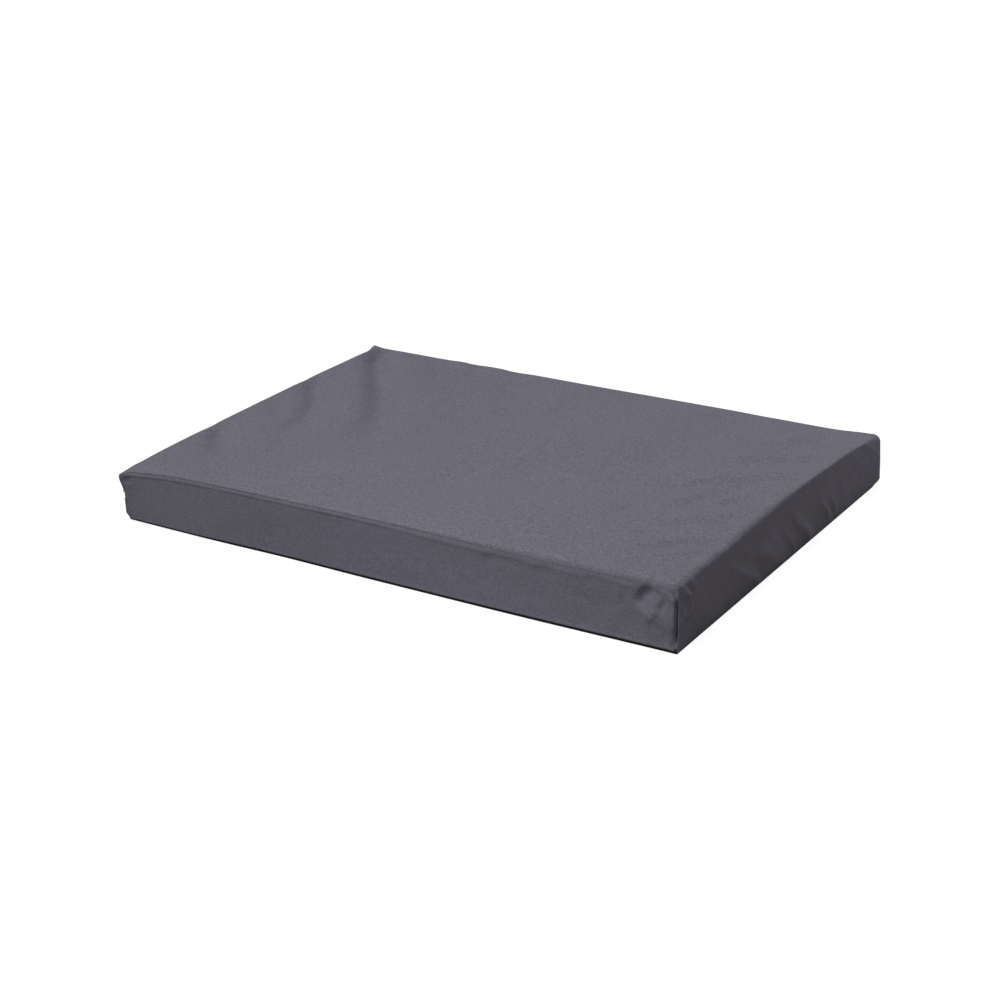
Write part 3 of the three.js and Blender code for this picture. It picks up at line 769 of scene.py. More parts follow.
def build_side(name, node, side, material):
    """A long side panel: side -1 is the front and 1 the back."""
    is_front = side < 0
    if is_front:
        roll, left_roll, right_roll = front_roll, FRONT_ROLL_LEFT, FRONT_ROLL_RIGHT
    else:
        roll, left_roll, right_roll = back_roll, BACK_ROLL_LEFT, BACK_ROLL_RIGHT
    left_gap = left_roll + TURN + SEAM_GAP
    right_gap = right_roll + seam_turn(HALF_X) + SEAM_GAP
    x_left, x_right = -HALF_X + left_gap, HALF_X - right_gap
    middle = spaced(x_left + 0.015, x_right - 0.015, 3.6 * MM)[1:-1]
    columns = np.concatenate([x_left + EDGE_STEPS, middle, (x_right - EDGE_STEPS)[::-1]])

    top = panel_top(columns, roll, left_gap, right_gap)
    # the panel's foot stops short of the floor, so the black base lip shows below it, thinner towards the left end;
    # along the front this dark band is partly the base cloth and partly painted shade standing in for the contact
    # shadow
    bottom = 1.3 + 2.0 * rise(-0.500, -0.485, columns) + 0.9 * rise(-0.40, -0.26, columns)
    bottom = bottom * MM
    low_steps = EDGE_STEPS[:13]
    low, high = bottom + low_steps[-1], top - EDGE_STEPS[-1]
    rows = [bottom + step for step in low_steps]
    rows += [low + (high - low) * share for share in np.linspace(0, 1, 20)[1:-1]]
    rows += [top - step for step in EDGE_STEPS[::-1]]
    z = np.array(rows).T
    x = np.repeat(columns[:, None], z.shape[1], 1)

    # distances from each edge, in mm
    to_top, to_bottom = (top[:, None] - z) / MM, (z - bottom[:, None]) / MM
    to_left, to_right = (x - x_left) / MM, (x_right - x) / MM
    to_end = np.minimum(to_left, to_right)
    soft = rise(-0.1, 0.35, x)
    # the folded allowance lifts the cloth in a slanted step along the top seam
    width = 4.4 + 1.8 * soft
    ridge = (1.0 - 0.40 * soft) * np.clip(to_top / width, 0, 1) * rise(0, 6, to_end)
    ridge = ridge * fall(width * 0.85, width + 3.8 + 6.0 * soft, to_top)
    ridge = ridge + 0.5 * rise(0.2, 3.0, to_end) * fall(4, 8, to_end) * fall(0.064, 0.080, z)
    relief = front_relief(x, z) if is_front else back_relief(x, z)
    from_seams = np.minimum.reduce([to_top + 1.5, to_left + 4, to_right + 3, to_bottom + 5])
    groove = seam_groove(z, is_front, soft, to_top, to_right, to_left, to_bottom)
    out = ridge - groove + relief * rise(1.0, 12, from_seams)

    points = np.stack([x, side * (HALF_Y + out * MM), z], -1)
    # hidden edges, turned into the seams
    points = np.pad(points, ((1, 1), (1, 1), (0, 0)), mode="edge")
    tucked = side * (HALF_Y - 5 * MM)
    points[[0, -1], :, Y] = tucked
    points[:, [0, -1], Y] = tucked
    sheet(name, warp(points), material, node, flip=not is_front)


def build_base(material):
    """The dark base panel: flat underneath, turned up along the two long sides. Its black lip along the front foot
    is partly the base cloth and partly painted shade, standing in for the contact shadow there.
    """
    radius = 1.7 * MM
    wall = -HALF_Y + 0.9 * MM
    # y and z of the front lip, down to the flat
    lip = [
        (-HALF_Y + 5 * MM, LIP + 0.1 * MM),
        (-HALF_Y + 3 * MM, LIP),
        (-HALF_Y + 1.9 * MM, LIP - 0.3 * MM),
        (-HALF_Y + 1.3 * MM, LIP - 1.2 * MM),
        (wall, radius + 0.8 * MM),
    ]
    for i in range(6):
        angle = math.pi + math.pi / 2 * i / 5
        lip.append((wall + radius + radius * math.cos(angle), radius + radius * math.sin(angle)))
    middle = spaced(wall + radius, -wall - radius, 7 * MM)[1:-1]
    profile = lip + [(y, 0.0) for y in middle] + [(-y, z) for y, z in lip[::-1]]
    y, z = np.array(profile).T
    end = HALF_X - 3 * MM
    x = np.concatenate([[-end], spaced(-HALF_X + 1.2 * MM, HALF_X - 1.2 * MM, 7 * MM), [end]])
    x, y = np.meshgrid(x, y, indexing="ij")
    z = np.repeat(z[None], len(x), 0)
    # faint ripples underneath, all above the floor
    ripple = 0.5 * MM * np.clip(noise1(x / 0.06, y / 0.08, 20.0), 0, 1)
    z = z + np.where(z < 1e-6, ripple * fall(HALF_X - 0.02, HALF_X, np.abs(x)), 0)
    z[[0, -1]] += 1.2 * MM
    points = warp(np.stack([x, y, z], -1))
    points[..., Z] = np.maximum(points[..., Z], 0.05 * MM)
    sheet("cover_base_cloth", points, material, "cover_base_panel")


def build_strip(material):
    """The strip of the left end below the zip, with its folded hem."""
    hem_z = HEM_LOW - HEM_FOLD
    # x and z, from the foot up and over the hem
    profile = [
        (-HALF_X + 8 * MM, 1.2 * MM), (-HALF_X + 1.6 * MM, 1.0 * MM), (-HALF_X + 0.4 * MM, 1.6 * MM)
    ]
    profile += [(-HALF_X, z) for z in spaced(3 * MM, hem_z, 2.6 * MM)]
    for i in range(1, 7):
        angle = math.pi - math.pi * i / 6
        profile.append(
            (-HALF_X + HEM_FOLD + HEM_FOLD * math.cos(angle), hem_z + HEM_FOLD * math.sin(angle))
        )
    profile += [(-HALF_X + 2 * HEM_FOLD, hem_z - d) for d in (3 * MM, 6 * MM, 10 * MM)]
    x, z = np.array(profile).T
    # outward y from the side plane, and depth, where each end turns into its seam
    roll = FRONT_ROLL_LEFT
    edge = [(-5 * MM, roll + TURN)]
    for radius, angles in (
        (TURN, np.linspace(math.pi, math.pi / 2, 4)),
        (roll, np.linspace(math.pi / 2, 0, 7)[1:]),
    ):
        edge += [(-radius + radius * math.sin(a), roll - radius * math.cos(a)) for a in angles]
    edge_y, edge_depth = np.array(edge).T
    edge_y = -(HALF_Y + edge_y)
    middle = spaced(edge_y[-1], -edge_y[-1], 4.5 * MM)[1:-1]
    y = np.concatenate([edge_y, middle, -edge_y[::-1]])
    depth = np.concatenate([edge_depth, 0 * middle, edge_depth[::-1]])
    outer = ((x < -HALF_X + 1e-6) | (z < 2 * MM)).astype(float)[:, None]
    x = x[:, None] + depth[None] * outer
    z, y = np.meshgrid(z, y, indexing="ij")
    gather = 0.8 * folded(noise3(y / 0.022, z / 0.06, 30.0)) * bell(z, 0.012, 0.016)
    sway = 0.6 * noise2(y / 0.08, z / 0.04, 31.0) * rise(0.002, 0.01, z)
    calm = fall(HEM_LOW - 0.012, HEM_LOW - 0.002, z)
    calm = calm * fall(HALF_Y - 0.02, HALF_Y - 0.002, np.abs(y))
    x = x - (gather + sway) * MM * outer * calm
    points = warp(np.stack([x, y, z], -1))
    sheet("cover_zip_strip_cloth", points, material, "cover_zip_strip")


def build_end_tab(name, node, side, material):
    """A cloth tab that closes one end of the zip and wraps round the corner; side -1 is the front."""
    low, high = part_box(node)
    inner = min(abs(low.y), abs(high.y))
    radius, thickness = 3.3 * MM, 0.7 * MM
    face_x, face_y = -HALF_X + 0.9 * MM, HALF_Y - 0.2 * MM
    turn_x, turn_y = face_x + radius, face_y - radius
    path = [(face_x + 0.5 * MM, inner)]
    path += [(face_x, y) for y in spaced(inner + 2 * MM, turn_y, 2 * MM)]
    for angle in np.linspace(0, math.pi / 2, 7)[1:]:
        path.append((turn_x - radius * math.cos(angle), turn_y + radius * math.sin(angle)))
    path += [(turn_x + 2 * MM, face_y - 0.2 * MM), (turn_x + 4 * MM, face_y - 2.5 * MM)]
    path = np.array(path)
    tangent = np.gradient(path, axis=0)
    tangent /= np.linalg.norm(tangent, axis=1)[:, None]
    normal = np.stack([-tangent[:, 1], tangent[:, 0]], 1)
    z = np.linspace(low.z - 2 * MM, high.z + 2 * MM, 12)
    wave = noise3(path[:, :1] / 0.008 + path[:, 1:] / 0.008, z[None] / 0.006, 33.0) * 0.25 * MM

    def leaf(depth):
        spot = path[:, None, :] + normal[:, None, :] * (wave - depth)[..., None]
        return np.stack([spot[..., 0], side * spot[..., 1], np.broadcast_to(z, wave.shape)], -1)

    # a closed leaf: outer face, then back face in reverse
    loop = np.concatenate([leaf(0.0), leaf(thickness)[:, ::-1]], 1)
    sheet(name, warp(loop), material, node, flip=side > 0, closed=True)


# ---- core -----------------------------------------------------------------------
def build_core_block(name, node, material, top_radius, low_radius, sink=0.0, relief=0.0):
    """A soft block with rounded edges, lying inside the cover; sink lowers its top."""
    low, high = (np.array(c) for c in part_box(node))
    counts = np.maximum(np.round((high - low) / (14 * MM)).astype(int), (3, 3, 6))
    grid, faces = box_shell(counts, bottom=True)
    share = grid / counts
    points = low + share * (high - low)
    radius = np.where(share[:, Z] > 0.5, top_radius, low_radius)
    radius = np.maximum(radius, 0.4 * MM)[:, None]
    points = round_edges(points, low + radius, high - radius, radius)
    x, y, z = points.T
    z += relief * noise1(x / 0.05, y / 0.05, 40.0) * (share[:, Z] > 0.99)
    # where the cover is dented, the core gives way too
    give = np.clip(-front_relief(x, z), 0, None) + 1.0 + 12.0 * rise(0.466, 0.487, x)
    y += np.where(share[:, Y] < 1e-6, give * MM, 0)
    give = np.clip(-end_relief(y, z), 0, None) + 0.5
    x -= np.where(share[:, X] > 1 - 1e-6, give * MM, 0)
    z += np.clip(top_relief(x, y), None, 0) * MM * share[:, Z] ** 4
    points = warp(points)
    points[:, Z] -= share[:, Z] * sink
    mesh_object(name, points, faces, material, node)


# ---- materials ------------------------------------------------------------------
class Surface:
    """A node material with short ways to add its nodes."""

    def __init__(self, name):
        self.material = bpy.data.materials.new(name)
        self.material.use_nodes = True
        self.tree = self.material.node_tree
        self.shader = self.tree.nodes["Principled BSDF"]
        self.place = self.node("TexCoord").outputs["Object"]

    def node(self, kind):
        return self.tree.nodes.new("ShaderNode" + kind)

    def feed(self, socket, value):
        if isinstance(value, bpy.types.NodeSocket):
            self.tree.links.new(value, socket)
        else:
            socket.default_value = value

    def build(self, kind, **inputs):
        """Adds a node and feeds its named inputs, underscores standing for spaces."""
        node = self.node(kind)
        for name, value in inputs.items():
            self.feed(node.inputs[name.replace("_", " ")], value)
        return node

    def math(self, operation, *values):
        """A math node; a single value leaves 0 in the second input."""
        node = self.node("Math")
        node.operation = operation
        for i, value in enumerate(values if len(values) > 1 else (*values, 0.0)):
            self.feed(node.inputs[i], value)
        return node.outputs[0]

    def xyz(self, vector=None):
        return self.build("SeparateXYZ", Vector=vector or self.place).outputs

    def geometry(self, output):
        return self.node("NewGeometry").outputs[output]

    def noise(self, scale, detail=2.0, rough=0.5, stretch=None):
        place = self.place
        if stretch:
            place = self.build("Mapping", Scale=stretch, Vector=place).outputs[0]
        node = self.build("TexNoise", Vector=place, Scale=scale, Detail=detail, Roughness=rough)
        return node.outputs[0]

    def voronoi(self, scale):
        return self.build("TexVoronoi", Vector=self.place, Scale=scale).outputs["Distance"]

    def span(self, value, to=(0.0, 1.0), over=(0.0, 1.0)):
        """Maps the range over onto the range to, clamped."""
        node = self.build(
            "MapRange", Value=value, From_Min=over[0], From_Max=over[1], To_Min=to[0], To_Max=to[1]
        )
        return node.outputs[0]

    def mix(self, share, first, second, blend="MIX"):
        node = self.node("Mix")
        node.data_type = "RGBA"
        node.blend_type = blend
        self.feed(node.inputs[0], share)
        for i, colour in ((6, first), (7, second)):  # the colour inputs
            self.feed(node.inputs[i], (*colour, 1) if isinstance(colour, tuple) else colour)
        return node.outputs[2]

    def bump(self, height, strength, distance):
        return self.build("Bump", Strength=strength, Distance=distance, Height=height).outputs[0]

    def finish(self, **inputs):
        for name, value in inputs.items():
            self.feed(self.shader.inputs[name.replace("_", " ")], value)
        return self.material


COVER_COLOUR = (0.139, 0.1325, 0.1645)


def woven(name, run):
    """A fine coated plain weave. run is the first thread direction: wrap, x or y."""
    pitch = 1.15 * MM
    mat = Surface(name)
    x, y, z = mat.xyz()
    if run == "wrap":
        first, second = mat.math("SUBTRACT", mat.math("ABSOLUTE", x), z), y
    else:
        first, second = {"x": x, "y": y}[run], z
    # thread directions wander slightly
    wander = mat.noise(scale=9.0, detail=1.0)
    first = mat.math("MULTIPLY_ADD", wander, 0.004, first)
    wander = mat.noise(scale=11.0, detail=1.0, stretch=(1.3, 0.8, 1.0))
    second = mat.math("MULTIPLY_ADD", wander, 0.004, second)
    wave_a = mat.math("SINE", mat.math("MULTIPLY", first, math.pi / pitch))
    wave_b = mat.math("SINE", mat.math("MULTIPLY", second, math.pi / pitch))
    check = mat.math("MULTIPLY", wave_a, wave_b)
    thread_a = mat.math("ABSOLUTE", wave_a)
    thread_b = mat.math("ABSOLUTE", wave_b)
    over = mat.math("GREATER_THAN", check, 0.0)
    thread = mat.math(
        "ADD",
        mat.math("MULTIPLY", over, thread_a),
        mat.math("MULTIPLY", mat.math("SUBTRACT", 1.0, over), thread_b),
    )
    fibre = mat.noise(scale=900.0, rough=0.6)
    mottle = mat.noise(scale=270.0, rough=0.6)
    slub = mat.noise(scale=140.0, stretch=(0.25, 2.2, 1.6))
    cloud = mat.noise(scale=7.0, detail=3.0)
    # the mottle shows most on cloth that faces up or down
    facing = mat.xyz(mat.geometry("Normal"))[2]
    strength = mat.span(mat.math("ABSOLUTE", facing), to=(0.85, 1.35), over=(0.2, 0.9))
    spots = mat.span(mottle, to=(-0.27, 0.27), over=(0.25, 0.75))
    tone = mat.math("MULTIPLY_ADD", spots, strength, 1.0)
    for pattern, to, span_over in (
        (slub, (0.965, 1.035), (0.3, 0.7)),
        (cloud, (0.975, 1.025), (0.3, 0.7)),
        (thread, (0.90, 1.05), (0.0, 1.0)),
        (fibre, (0.94, 1.06), (0.3, 0.7)),
    ):
        tone = mat.math("MULTIPLY", tone, mat.span(pattern, to=to, over=span_over))
    # the cloth is lightened a little on convex edges, seam rolls and fold crests
    convex_edges = mat.span(mat.geometry("Pointiness"), over=(0.515, 0.56))
    convex_edge_colour = tuple(min(1, c * 1.5 + 0.01) for c in COVER_COLOUR)
    base = mat.mix(mat.math("MULTIPLY", convex_edges, 0.18), COVER_COLOUR, convex_edge_colour)
    grey = mat.node("CombineColor")
    for i in range(3):
        mat.feed(grey.inputs[i], tone)
    colour = mat.mix(1.0, base, grey.outputs[0], blend="MULTIPLY")
    height = mat.math("MULTIPLY_ADD", thread, 0.7, mat.math("MULTIPLY", mottle, 0.9))
    normal = mat.bump(height, strength=0.35, distance=0.35 * MM)
    return mat.finish(
        Base_Color=colour,
        Roughness=mat.span(mottle, to=(0.72, 0.88), over=(0.3, 0.7)),
        Normal=normal,
        Sheen_Weight=0.12,
        Sheen_Roughness=0.5,
        Specular_IOR_Level=0.32,
        Sheen_Tint=(0.85, 0.85, 1.0, 1),
    )


def dotted_base():
    """Black non-slip cloth with small raised grip dots in staggered rows."""
    pitch = 4 * MM
    mat = Surface("cloth_base")
    x, y, _ = mat.xyz()

    def in_cell(value):
        return mat.math("SUBTRACT", mat.math("FRACT", mat.math("DIVIDE", value, pitch)), 0.5)

    row = mat.math("FLOOR", mat.math("DIVIDE", y, pitch))
    odd = mat.math("MODULO", mat.math("ABSOLUTE", row), 2.0)
    stagger = mat.math("MULTIPLY", odd, pitch / 2)
    cell_x = in_cell(mat.math("ADD", x, stagger))
    cell_y = in_cell(y)
    square_x = mat.math("MULTIPLY", cell_x, cell_x)
    square_y = mat.math("MULTIPLY", cell_y, cell_y)
    distance = mat.math("SQRT", mat.math("ADD", square_x, square_y))
    dot = mat.span(distance, to=(1.0, 0.0), over=(0.20, 0.30))
    grain = mat.noise(scale=500.0, detail=3.0, rough=0.6)
    cloud = mat.noise(scale=16.0, detail=3.0)
    # near black, kept this dark so that the base lip along the front foot also serves as painted shade for the
    # contact shadow there
    colour = mat.mix(dot, (0.0042, 0.0042, 0.0048), (0.0095, 0.0095, 0.0100))
    dust = mat.span(cloud, to=(0.0, 0.35), over=(0.4, 0.7))
    colour = mat.mix(dust, colour, (0.010, 0.0095, 0.0098))
    height = mat.math("MULTIPLY_ADD", dot, 1.0, mat.math("MULTIPLY", grain, 0.35))
    return mat.finish(
        Base_Color=colour,
        Roughness=mat.span(grain, to=(0.62, 0.85), over=(0.3, 0.7)),
        Normal=mat.bump(height, strength=0.6, distance=0.4 * MM),
        Specular_IOR_Level=0.2,
    )


def tape_weave():
    """The zip tape's herringbone weave, dark."""
    rib_pitch, row_pitch, chevron = 1.0 * MM, 0.8 * MM, 2.4 * MM
    mat = Surface("zip_tape_weave")
    _, y, z = mat.xyz()
    slant = mat.math("ADD", y, mat.math("PINGPONG", z, chevron))
    rib = mat.math("SINE", mat.math("MULTIPLY", slant, 2 * math.pi / rib_pitch))
    row = mat.math("SINE", mat.math("MULTIPLY", z, 2 * math.pi / row_pitch))
    height = mat.math("MULTIPLY_ADD", rib, 0.5, mat.math("MULTIPLY", row, 0.3))
    fuzz = mat.noise(scale=700.0)
    raised = mat.span(height, over=(-0.7, 0.7))
    colour = mat.mix(raised, (0.018, 0.0175, 0.022), (0.040, 0.039, 0.048))
    light = mat.span(fuzz, to=(0.0, 0.35), over=(0.45, 0.7))
    colour = mat.mix(light, colour, (0.05, 0.048, 0.056))
    return mat.finish(
        Base_Color=colour,
        Roughness=mat.span(fuzz, to=(0.78, 0.92), over=(0.3, 0.7)),
        Normal=mat.bump(height, strength=0.5, distance=0.25 * MM),
        Sheen_Weight=0.1,
    )


def nylon():
    """The zip coil: satin monofilament."""
    mat = Surface("zip_coil_nylon")
    cloud = mat.noise(scale=260.0)
    fine = mat.noise(scale=1500.0)
    return mat.finish(
        Base_Color=mat.mix(cloud, (0.016, 0.0155, 0.019), (0.030, 0.029, 0.034)),
        Roughness=mat.span(cloud, to=(0.30, 0.48), over=(0.3, 0.7)),
        Normal=mat.bump(fine, strength=0.15, distance=0.1 * MM),
        Specular_IOR_Level=0.5,
        Coat_Weight=0.1,
    )


def enamel():
    """Dark enamelled zinc, rubbed to bare metal along the edges."""
    mat = Surface("zip_metal_enamel")
    edge = mat.span(mat.geometry("Pointiness"), over=(0.53, 0.62))
    rub = mat.noise(scale=420.0, detail=4.0, rough=0.65)
    worn = mat.math("MULTIPLY", edge, mat.span(rub, over=(0.42, 0.60)))
    scratch = mat.noise(scale=900.0, stretch=(1, 0.12, 2.5))
    colour = mat.mix(worn, (0.030, 0.030, 0.034), (0.42, 0.41, 0.40))
    scratched = mat.span(scratch, to=(0.0, 0.22), over=(0.60, 0.72))
    colour = mat.mix(scratched, colour, (0.16, 0.16, 0.165))
    return mat.finish(
        Base_Color=colour,
        Metallic=mat.span(worn, to=(0.55, 1.0)),
        Roughness=mat.span(rub, to=(0.26, 0.44), over=(0.3, 0.7)),
        Normal=mat.bump(scratch, strength=0.08, distance=0.08 * MM),
    )


def sewing_thread():
    """Sewing thread, with the twist of its plies."""
    ply_pitch = 0.55 * MM
    mat = Surface("sewing_thread")
    x, y, z = mat.xyz()
    flat = mat.math("MULTIPLY", mat.math("ADD", x, y), 1.0)
    slant = mat.math("ADD", flat, mat.math("MULTIPLY", z, 1.7))
    ply = mat.math("SINE", mat.math("MULTIPLY", slant, 2 * math.pi / ply_pitch))
    fuzz = mat.noise(scale=800.0)
    raised = mat.span(ply, over=(-1, 1))
    colour = mat.mix(raised, (0.105, 0.101, 0.124), (0.150, 0.144, 0.176))
    light = mat.span(fuzz, to=(0.0, 0.3), over=(0.45, 0.7))
    colour = mat.mix(light, colour, (0.17, 0.165, 0.19))
    return mat.finish(
        Base_Color=colour,
        Roughness=mat.span(fuzz, to=(0.6, 0.8), over=(0.3, 0.7)),
        Normal=mat.bump(ply, strength=0.5, distance=0.12 * MM),
        Sheen_Weight=0.2,
    )


def foam(name, light, dark, cell):
    """Open-cell foam: pits of two sizes and a little yellowing in patches."""
    mat = Surface(name)
    large = mat.voronoi(1 / cell)
    small = mat.voronoi(2.3 / cell)
    patches = mat.noise(scale=14.0, detail=3.0)
    pit = mat.math("MULTIPLY_ADD", large, 0.7, mat.math("MULTIPLY", small, 0.4))
    colour = mat.mix(mat.span(pit, over=(0.15, 0.55)), dark, light)
    aged = mat.span(patches, to=(0.0, 0.3), over=(0.45, 0.7))
    colour = mat.mix(aged, colour, tuple(c * f for c, f in zip(light, (1.0, 0.93, 0.78))))
    return mat.finish(
        Base_Color=colour,
        Roughness=0.95,
        Normal=mat.bump(pit, strength=0.7, distance=cell * 0.5),
        Subsurface_Weight=0.05,
    )


def knit():
    """The liner's thin knitted cloth."""
    pitch = 1.4 * MM
    mat = Surface("liner_knit")
    x, y, z = mat.xyz()

    def loops(value):
        wave = mat.math("SINE", mat.math("MULTIPLY", value, math.pi / pitch))
        return mat.math("ABSOLUTE", wave)

    wale = loops(mat.math("ADD", y, z))
    height = mat.math("MULTIPLY", wale, loops(x))
    cloud = mat.noise(scale=60.0, detail=3.0)
    colour = mat.mix(mat.span(height, over=(0.1, 0.8)), (0.55, 0.53, 0.49), (0.80, 0.78, 0.73))
    patches = mat.span(cloud, to=(0.0, 0.2), over=(0.4, 0.7))
    colour = mat.mix(patches, colour, (0.70, 0.68, 0.62))
    return mat.finish(
        Base_Color=colour,
        Roughness=mat.span(cloud, to=(0.85, 0.95), over=(0.3, 0.7)),
        Normal=mat.bump(height, strength=0.5, distance=0.3 * MM),
        Sheen_Weight=0.15,
    )


def glue():
    """Sprayed adhesive: speckled and slightly glossy."""
    mat = Surface("sprayed_adhesive")
    speck = mat.voronoi(240.0)
    cloud = mat.noise(scale=90.0, detail=3.0)
    return mat.finish(
        Base_Color=mat.mix(mat.span(speck, over=(0.1, 0.6)), (0.62, 0.57, 0.38), (0.74, 0.70, 0.54)),
        Roughness=mat.span(cloud, to=(0.35, 0.7), over=(0.3, 0.7)),
        Normal=mat.bump(speck, strength=0.5, distance=0.5 * MM),
    )


# ---- zip ------------------------------------------------------------------------
def build_coil(name, node, side, phase, material):
    """A nylon wire wound in a flattened spiral; side 1 is above the zip's middle, -1 below."""
    low, high = (np.array(c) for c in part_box(node))
    wire = 0.40 * MM
    pitch = 1.45 * MM
    per_turn = 12
    # the heads all but touch: the slider's web runs between them
    (low if side > 0 else high)[Z] = ZIP_Z + side * 0.26 * MM
    centre, half = (low + high) / 2, (high - low) / 2 - wire
    length = high[Y] - low[Y] - 2 * wire
    turns = int(length / pitch)
    angle = np.arange(turns * per_turn + 1) * 2 * math.pi / per_turn
    y = low[Y] + wire + (length - turns * pitch) / 2 + pitch * angle / (2 * math.pi)
    # powers below 1 square the loop
    cos, sin = np.cos(angle + phase), np.sin(angle + phase)
    x = centre[X] + half[X] * np.sign(cos) * np.abs(cos) ** 0.75
    z = centre[Z] + half[Z] * np.sign(sin) * np.abs(sin) ** 0.8
    path = np.stack([x, y, z], 1)
    tangent = np.gradient(path, axis=0)
    tangent /= np.linalg.norm(tangent, axis=1)[:, None]
    across = np.cross(tangent, np.array([0.0, 1.0, 0.0]))
    across /= np.linalg.norm(across, axis=1)[:, None]
    points = tube(path, wire * across, wire * 0.92 * np.cross(tangent, across), sides=6)
    sheet(name, np.clip(points, low, high), material, node, closed=True)


# Cross-section of a zip tape: share of the way outwards, share of its half thickness
TAPE_SECTION = np.array(
    [
        (0.0, 0.15), (0.03, 0.75), (0.06, 0.95), (0.12, 0.9), (0.2, 0.62), (0.3, 0.55), (0.42, 0.55),
        (0.55, 0.55), (0.68, 0.55), (0.8, 0.55), (0.9, 0.6), (0.97, 0.55), (1.0, 0.15),
    ]
)


def build_tape(name, node, side, material):
    """A woven zip tape: a thin leaf with a corded edge, lying in soft waves."""
    low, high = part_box(node)
    inner, outer = ZIP_Z + side * 0.28 * MM, (high.z if side > 0 else low.z)
    half = (high.x - low.x) / 2
    centre = (low.x + high.x) / 2
    y = spaced(low.y + 0.3 * MM, high.y - 0.3 * MM, 3.0 * MM)
    y, z = np.meshgrid(y, inner + (outer - inner) * TAPE_SECTION[:, 0], indexing="ij")
    thickness = half * TAPE_SECTION[:, 1]
    middle = centre + 0.22 * half * noise2(y / 0.030, z / 0.012, 44.0)
    near = np.stack([middle - thickness, y, z], -1)
    far = np.stack([middle + thickness, y, z], -1)
    loop = np.concatenate([near, far[:, ::-1]], 1)
    sheet(name, loop, material, node, flip=side < 0, closed=True)


def build_metal(node, body, width, material):
    """A hard part with its edges eased by width, made from the CAD shape."""
    name = node + "_eased"
    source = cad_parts[node]
    mesh = source.data.copy()
    mesh.name = name
    piece = bpy.data.objects.new(name, mesh)
    bpy.context.scene.collection.objects.link(piece)
    piece.matrix_world = source.matrix_world.copy()
    piece.modifiers.new("weld", "WELD").merge_threshold = 0.00001
    assign(
        piece.modifiers.new("ease", "BEVEL"),
        width=width, segments=2, limit_method="ANGLE", angle_limit=math.radians(28),
        use_clamp_overlap=True,
    )
    bpy.context.view_layer.update()
    depsgraph = bpy.context.evaluated_depsgraph_get()
    eased = bpy.data.meshes.new_from_object(piece.evaluated_get(depsgraph))
    piece.modifiers.clear()
    piece.data = eased
    bpy.data.meshes.remove(mesh)
    eased.materials.clear()
    eased.materials.append(material)
    eased.polygons.foreach_set("use_smooth", np.ones(len(eased.polygons), bool))
    eased.set_sharp_from_angle(angle=math.radians(35))
    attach(piece, body)
    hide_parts(node)


def build_stitches(material):
    """A row of lockstitch along each hem of the left end."""
    length, pitch, radius = 2.5 * MM, 3.3 * MM, 0.24 * MM
    hem_inset, end = 2.4 * MM, HALF_Y - 7 * MM
    sides = 6
    share = np.linspace(-1, 1, 7)
    radii = radius * np.array([0.15, 0.75, 0.98, 1.0, 0.98, 0.75, 0.15])[:, None]
    x = -HALF_X - 0.05 * MM + 0.20 * MM * np.abs(share) ** 3
    rng = np.random.RandomState(8)
    points, faces = [], []
    for row_z in (HEM_TOP + hem_inset, HEM_LOW - hem_inset):
        for middle in np.arange(-end + pitch / 2, end - pitch / 2, pitch):
            tilt = rng.uniform(-0.05, 0.05)
            along_stitch = share * length / 2
            path = np.stack([x, middle + along_stitch, row_z + along_stitch * tilt], 1)
            start = len(points) * len(share) * sides
            points.append(tube(path, radii * [1, 0, 0], radii * [0, 0, 1], sides))
            faces.append(grid_faces(len(share), sides, flip=True, closed=True, start=start))
    points = warp(np.concatenate(points).reshape(-1, 3))
    mesh_object("hem_stitches", points, np.concatenate(faces), material)


# ---- build ----------------------------------------------------------------------
wrap_cloth = woven("cloth_wrap", run="wrap")
side_cloth = woven("cloth_side", run="x")
end_cloth = woven("cloth_end", run="y")
base_cloth = dotted_base()
tape_material, coil_material, metal_material = tape_weave(), nylon(), enamel()
thread_material = sewing_thread()
visco_foam = foam("visco_foam", light=(0.86, 0.77, 0.47), dark=(0.70, 0.58, 0.30), cell=1.1 * MM)
base_foam = foam("base_foam", light=(0.66, 0.74, 0.80), dark=(0.45, 0.53, 0.60), cell=1.8 * MM)
liner_material, glue_material = knit(), glue()

build_wrap(wrap_cloth)
build_side("cover_front_cloth", "cover_front_panel", -1, side_cloth)
build_side("cover_back_cloth", "cover_back_panel", 1, side_cloth)
build_base(base_cloth)
build_strip(end_cloth)
build_end_tab("zip_end_cloth_front", "zip_end_tab_front", -1, end_cloth)
build_end_tab("zip_end_cloth_back", "zip_end_tab_back", 1, end_cloth)

build_core_block(
    "inner_liner_cloth", "inner_liner", liner_material,
    top_radius=9 * MM, low_radius=5 * MM, sink=4.2 * MM, relief=0.4 * MM,
)
build_core_block(
    "foam_visco_block", "foam_visco_layer", visco_foam,
    top_radius=8 * MM, low_radius=0.6 * MM, sink=4.0 * MM, relief=0.5 * MM,
)
build_core_block(
    "adhesive_coat", "adhesive_film", glue_material,
    top_radius=0.2 * MM, low_radius=0.2 * MM,
)
build_core_block(
    "foam_base_block", "foam_base_layer", base_foam,
    top_radius=0.6 * MM, low_radius=4 * MM,
)

build_coil("zip_coil_upper_wire", "zip_coil_upper", 1, phase=0.0, material=coil_material)
build_coil("zip_coil_lower_wire", "zip_coil_lower", -1, phase=math.pi, material=coil_material)
build_tape("zip_tape_upper_weave", "zip_tape_upper", 1, tape_material)
build_tape("zip_tape_lower_weave", "zip_tape_lower", -1, tape_material)
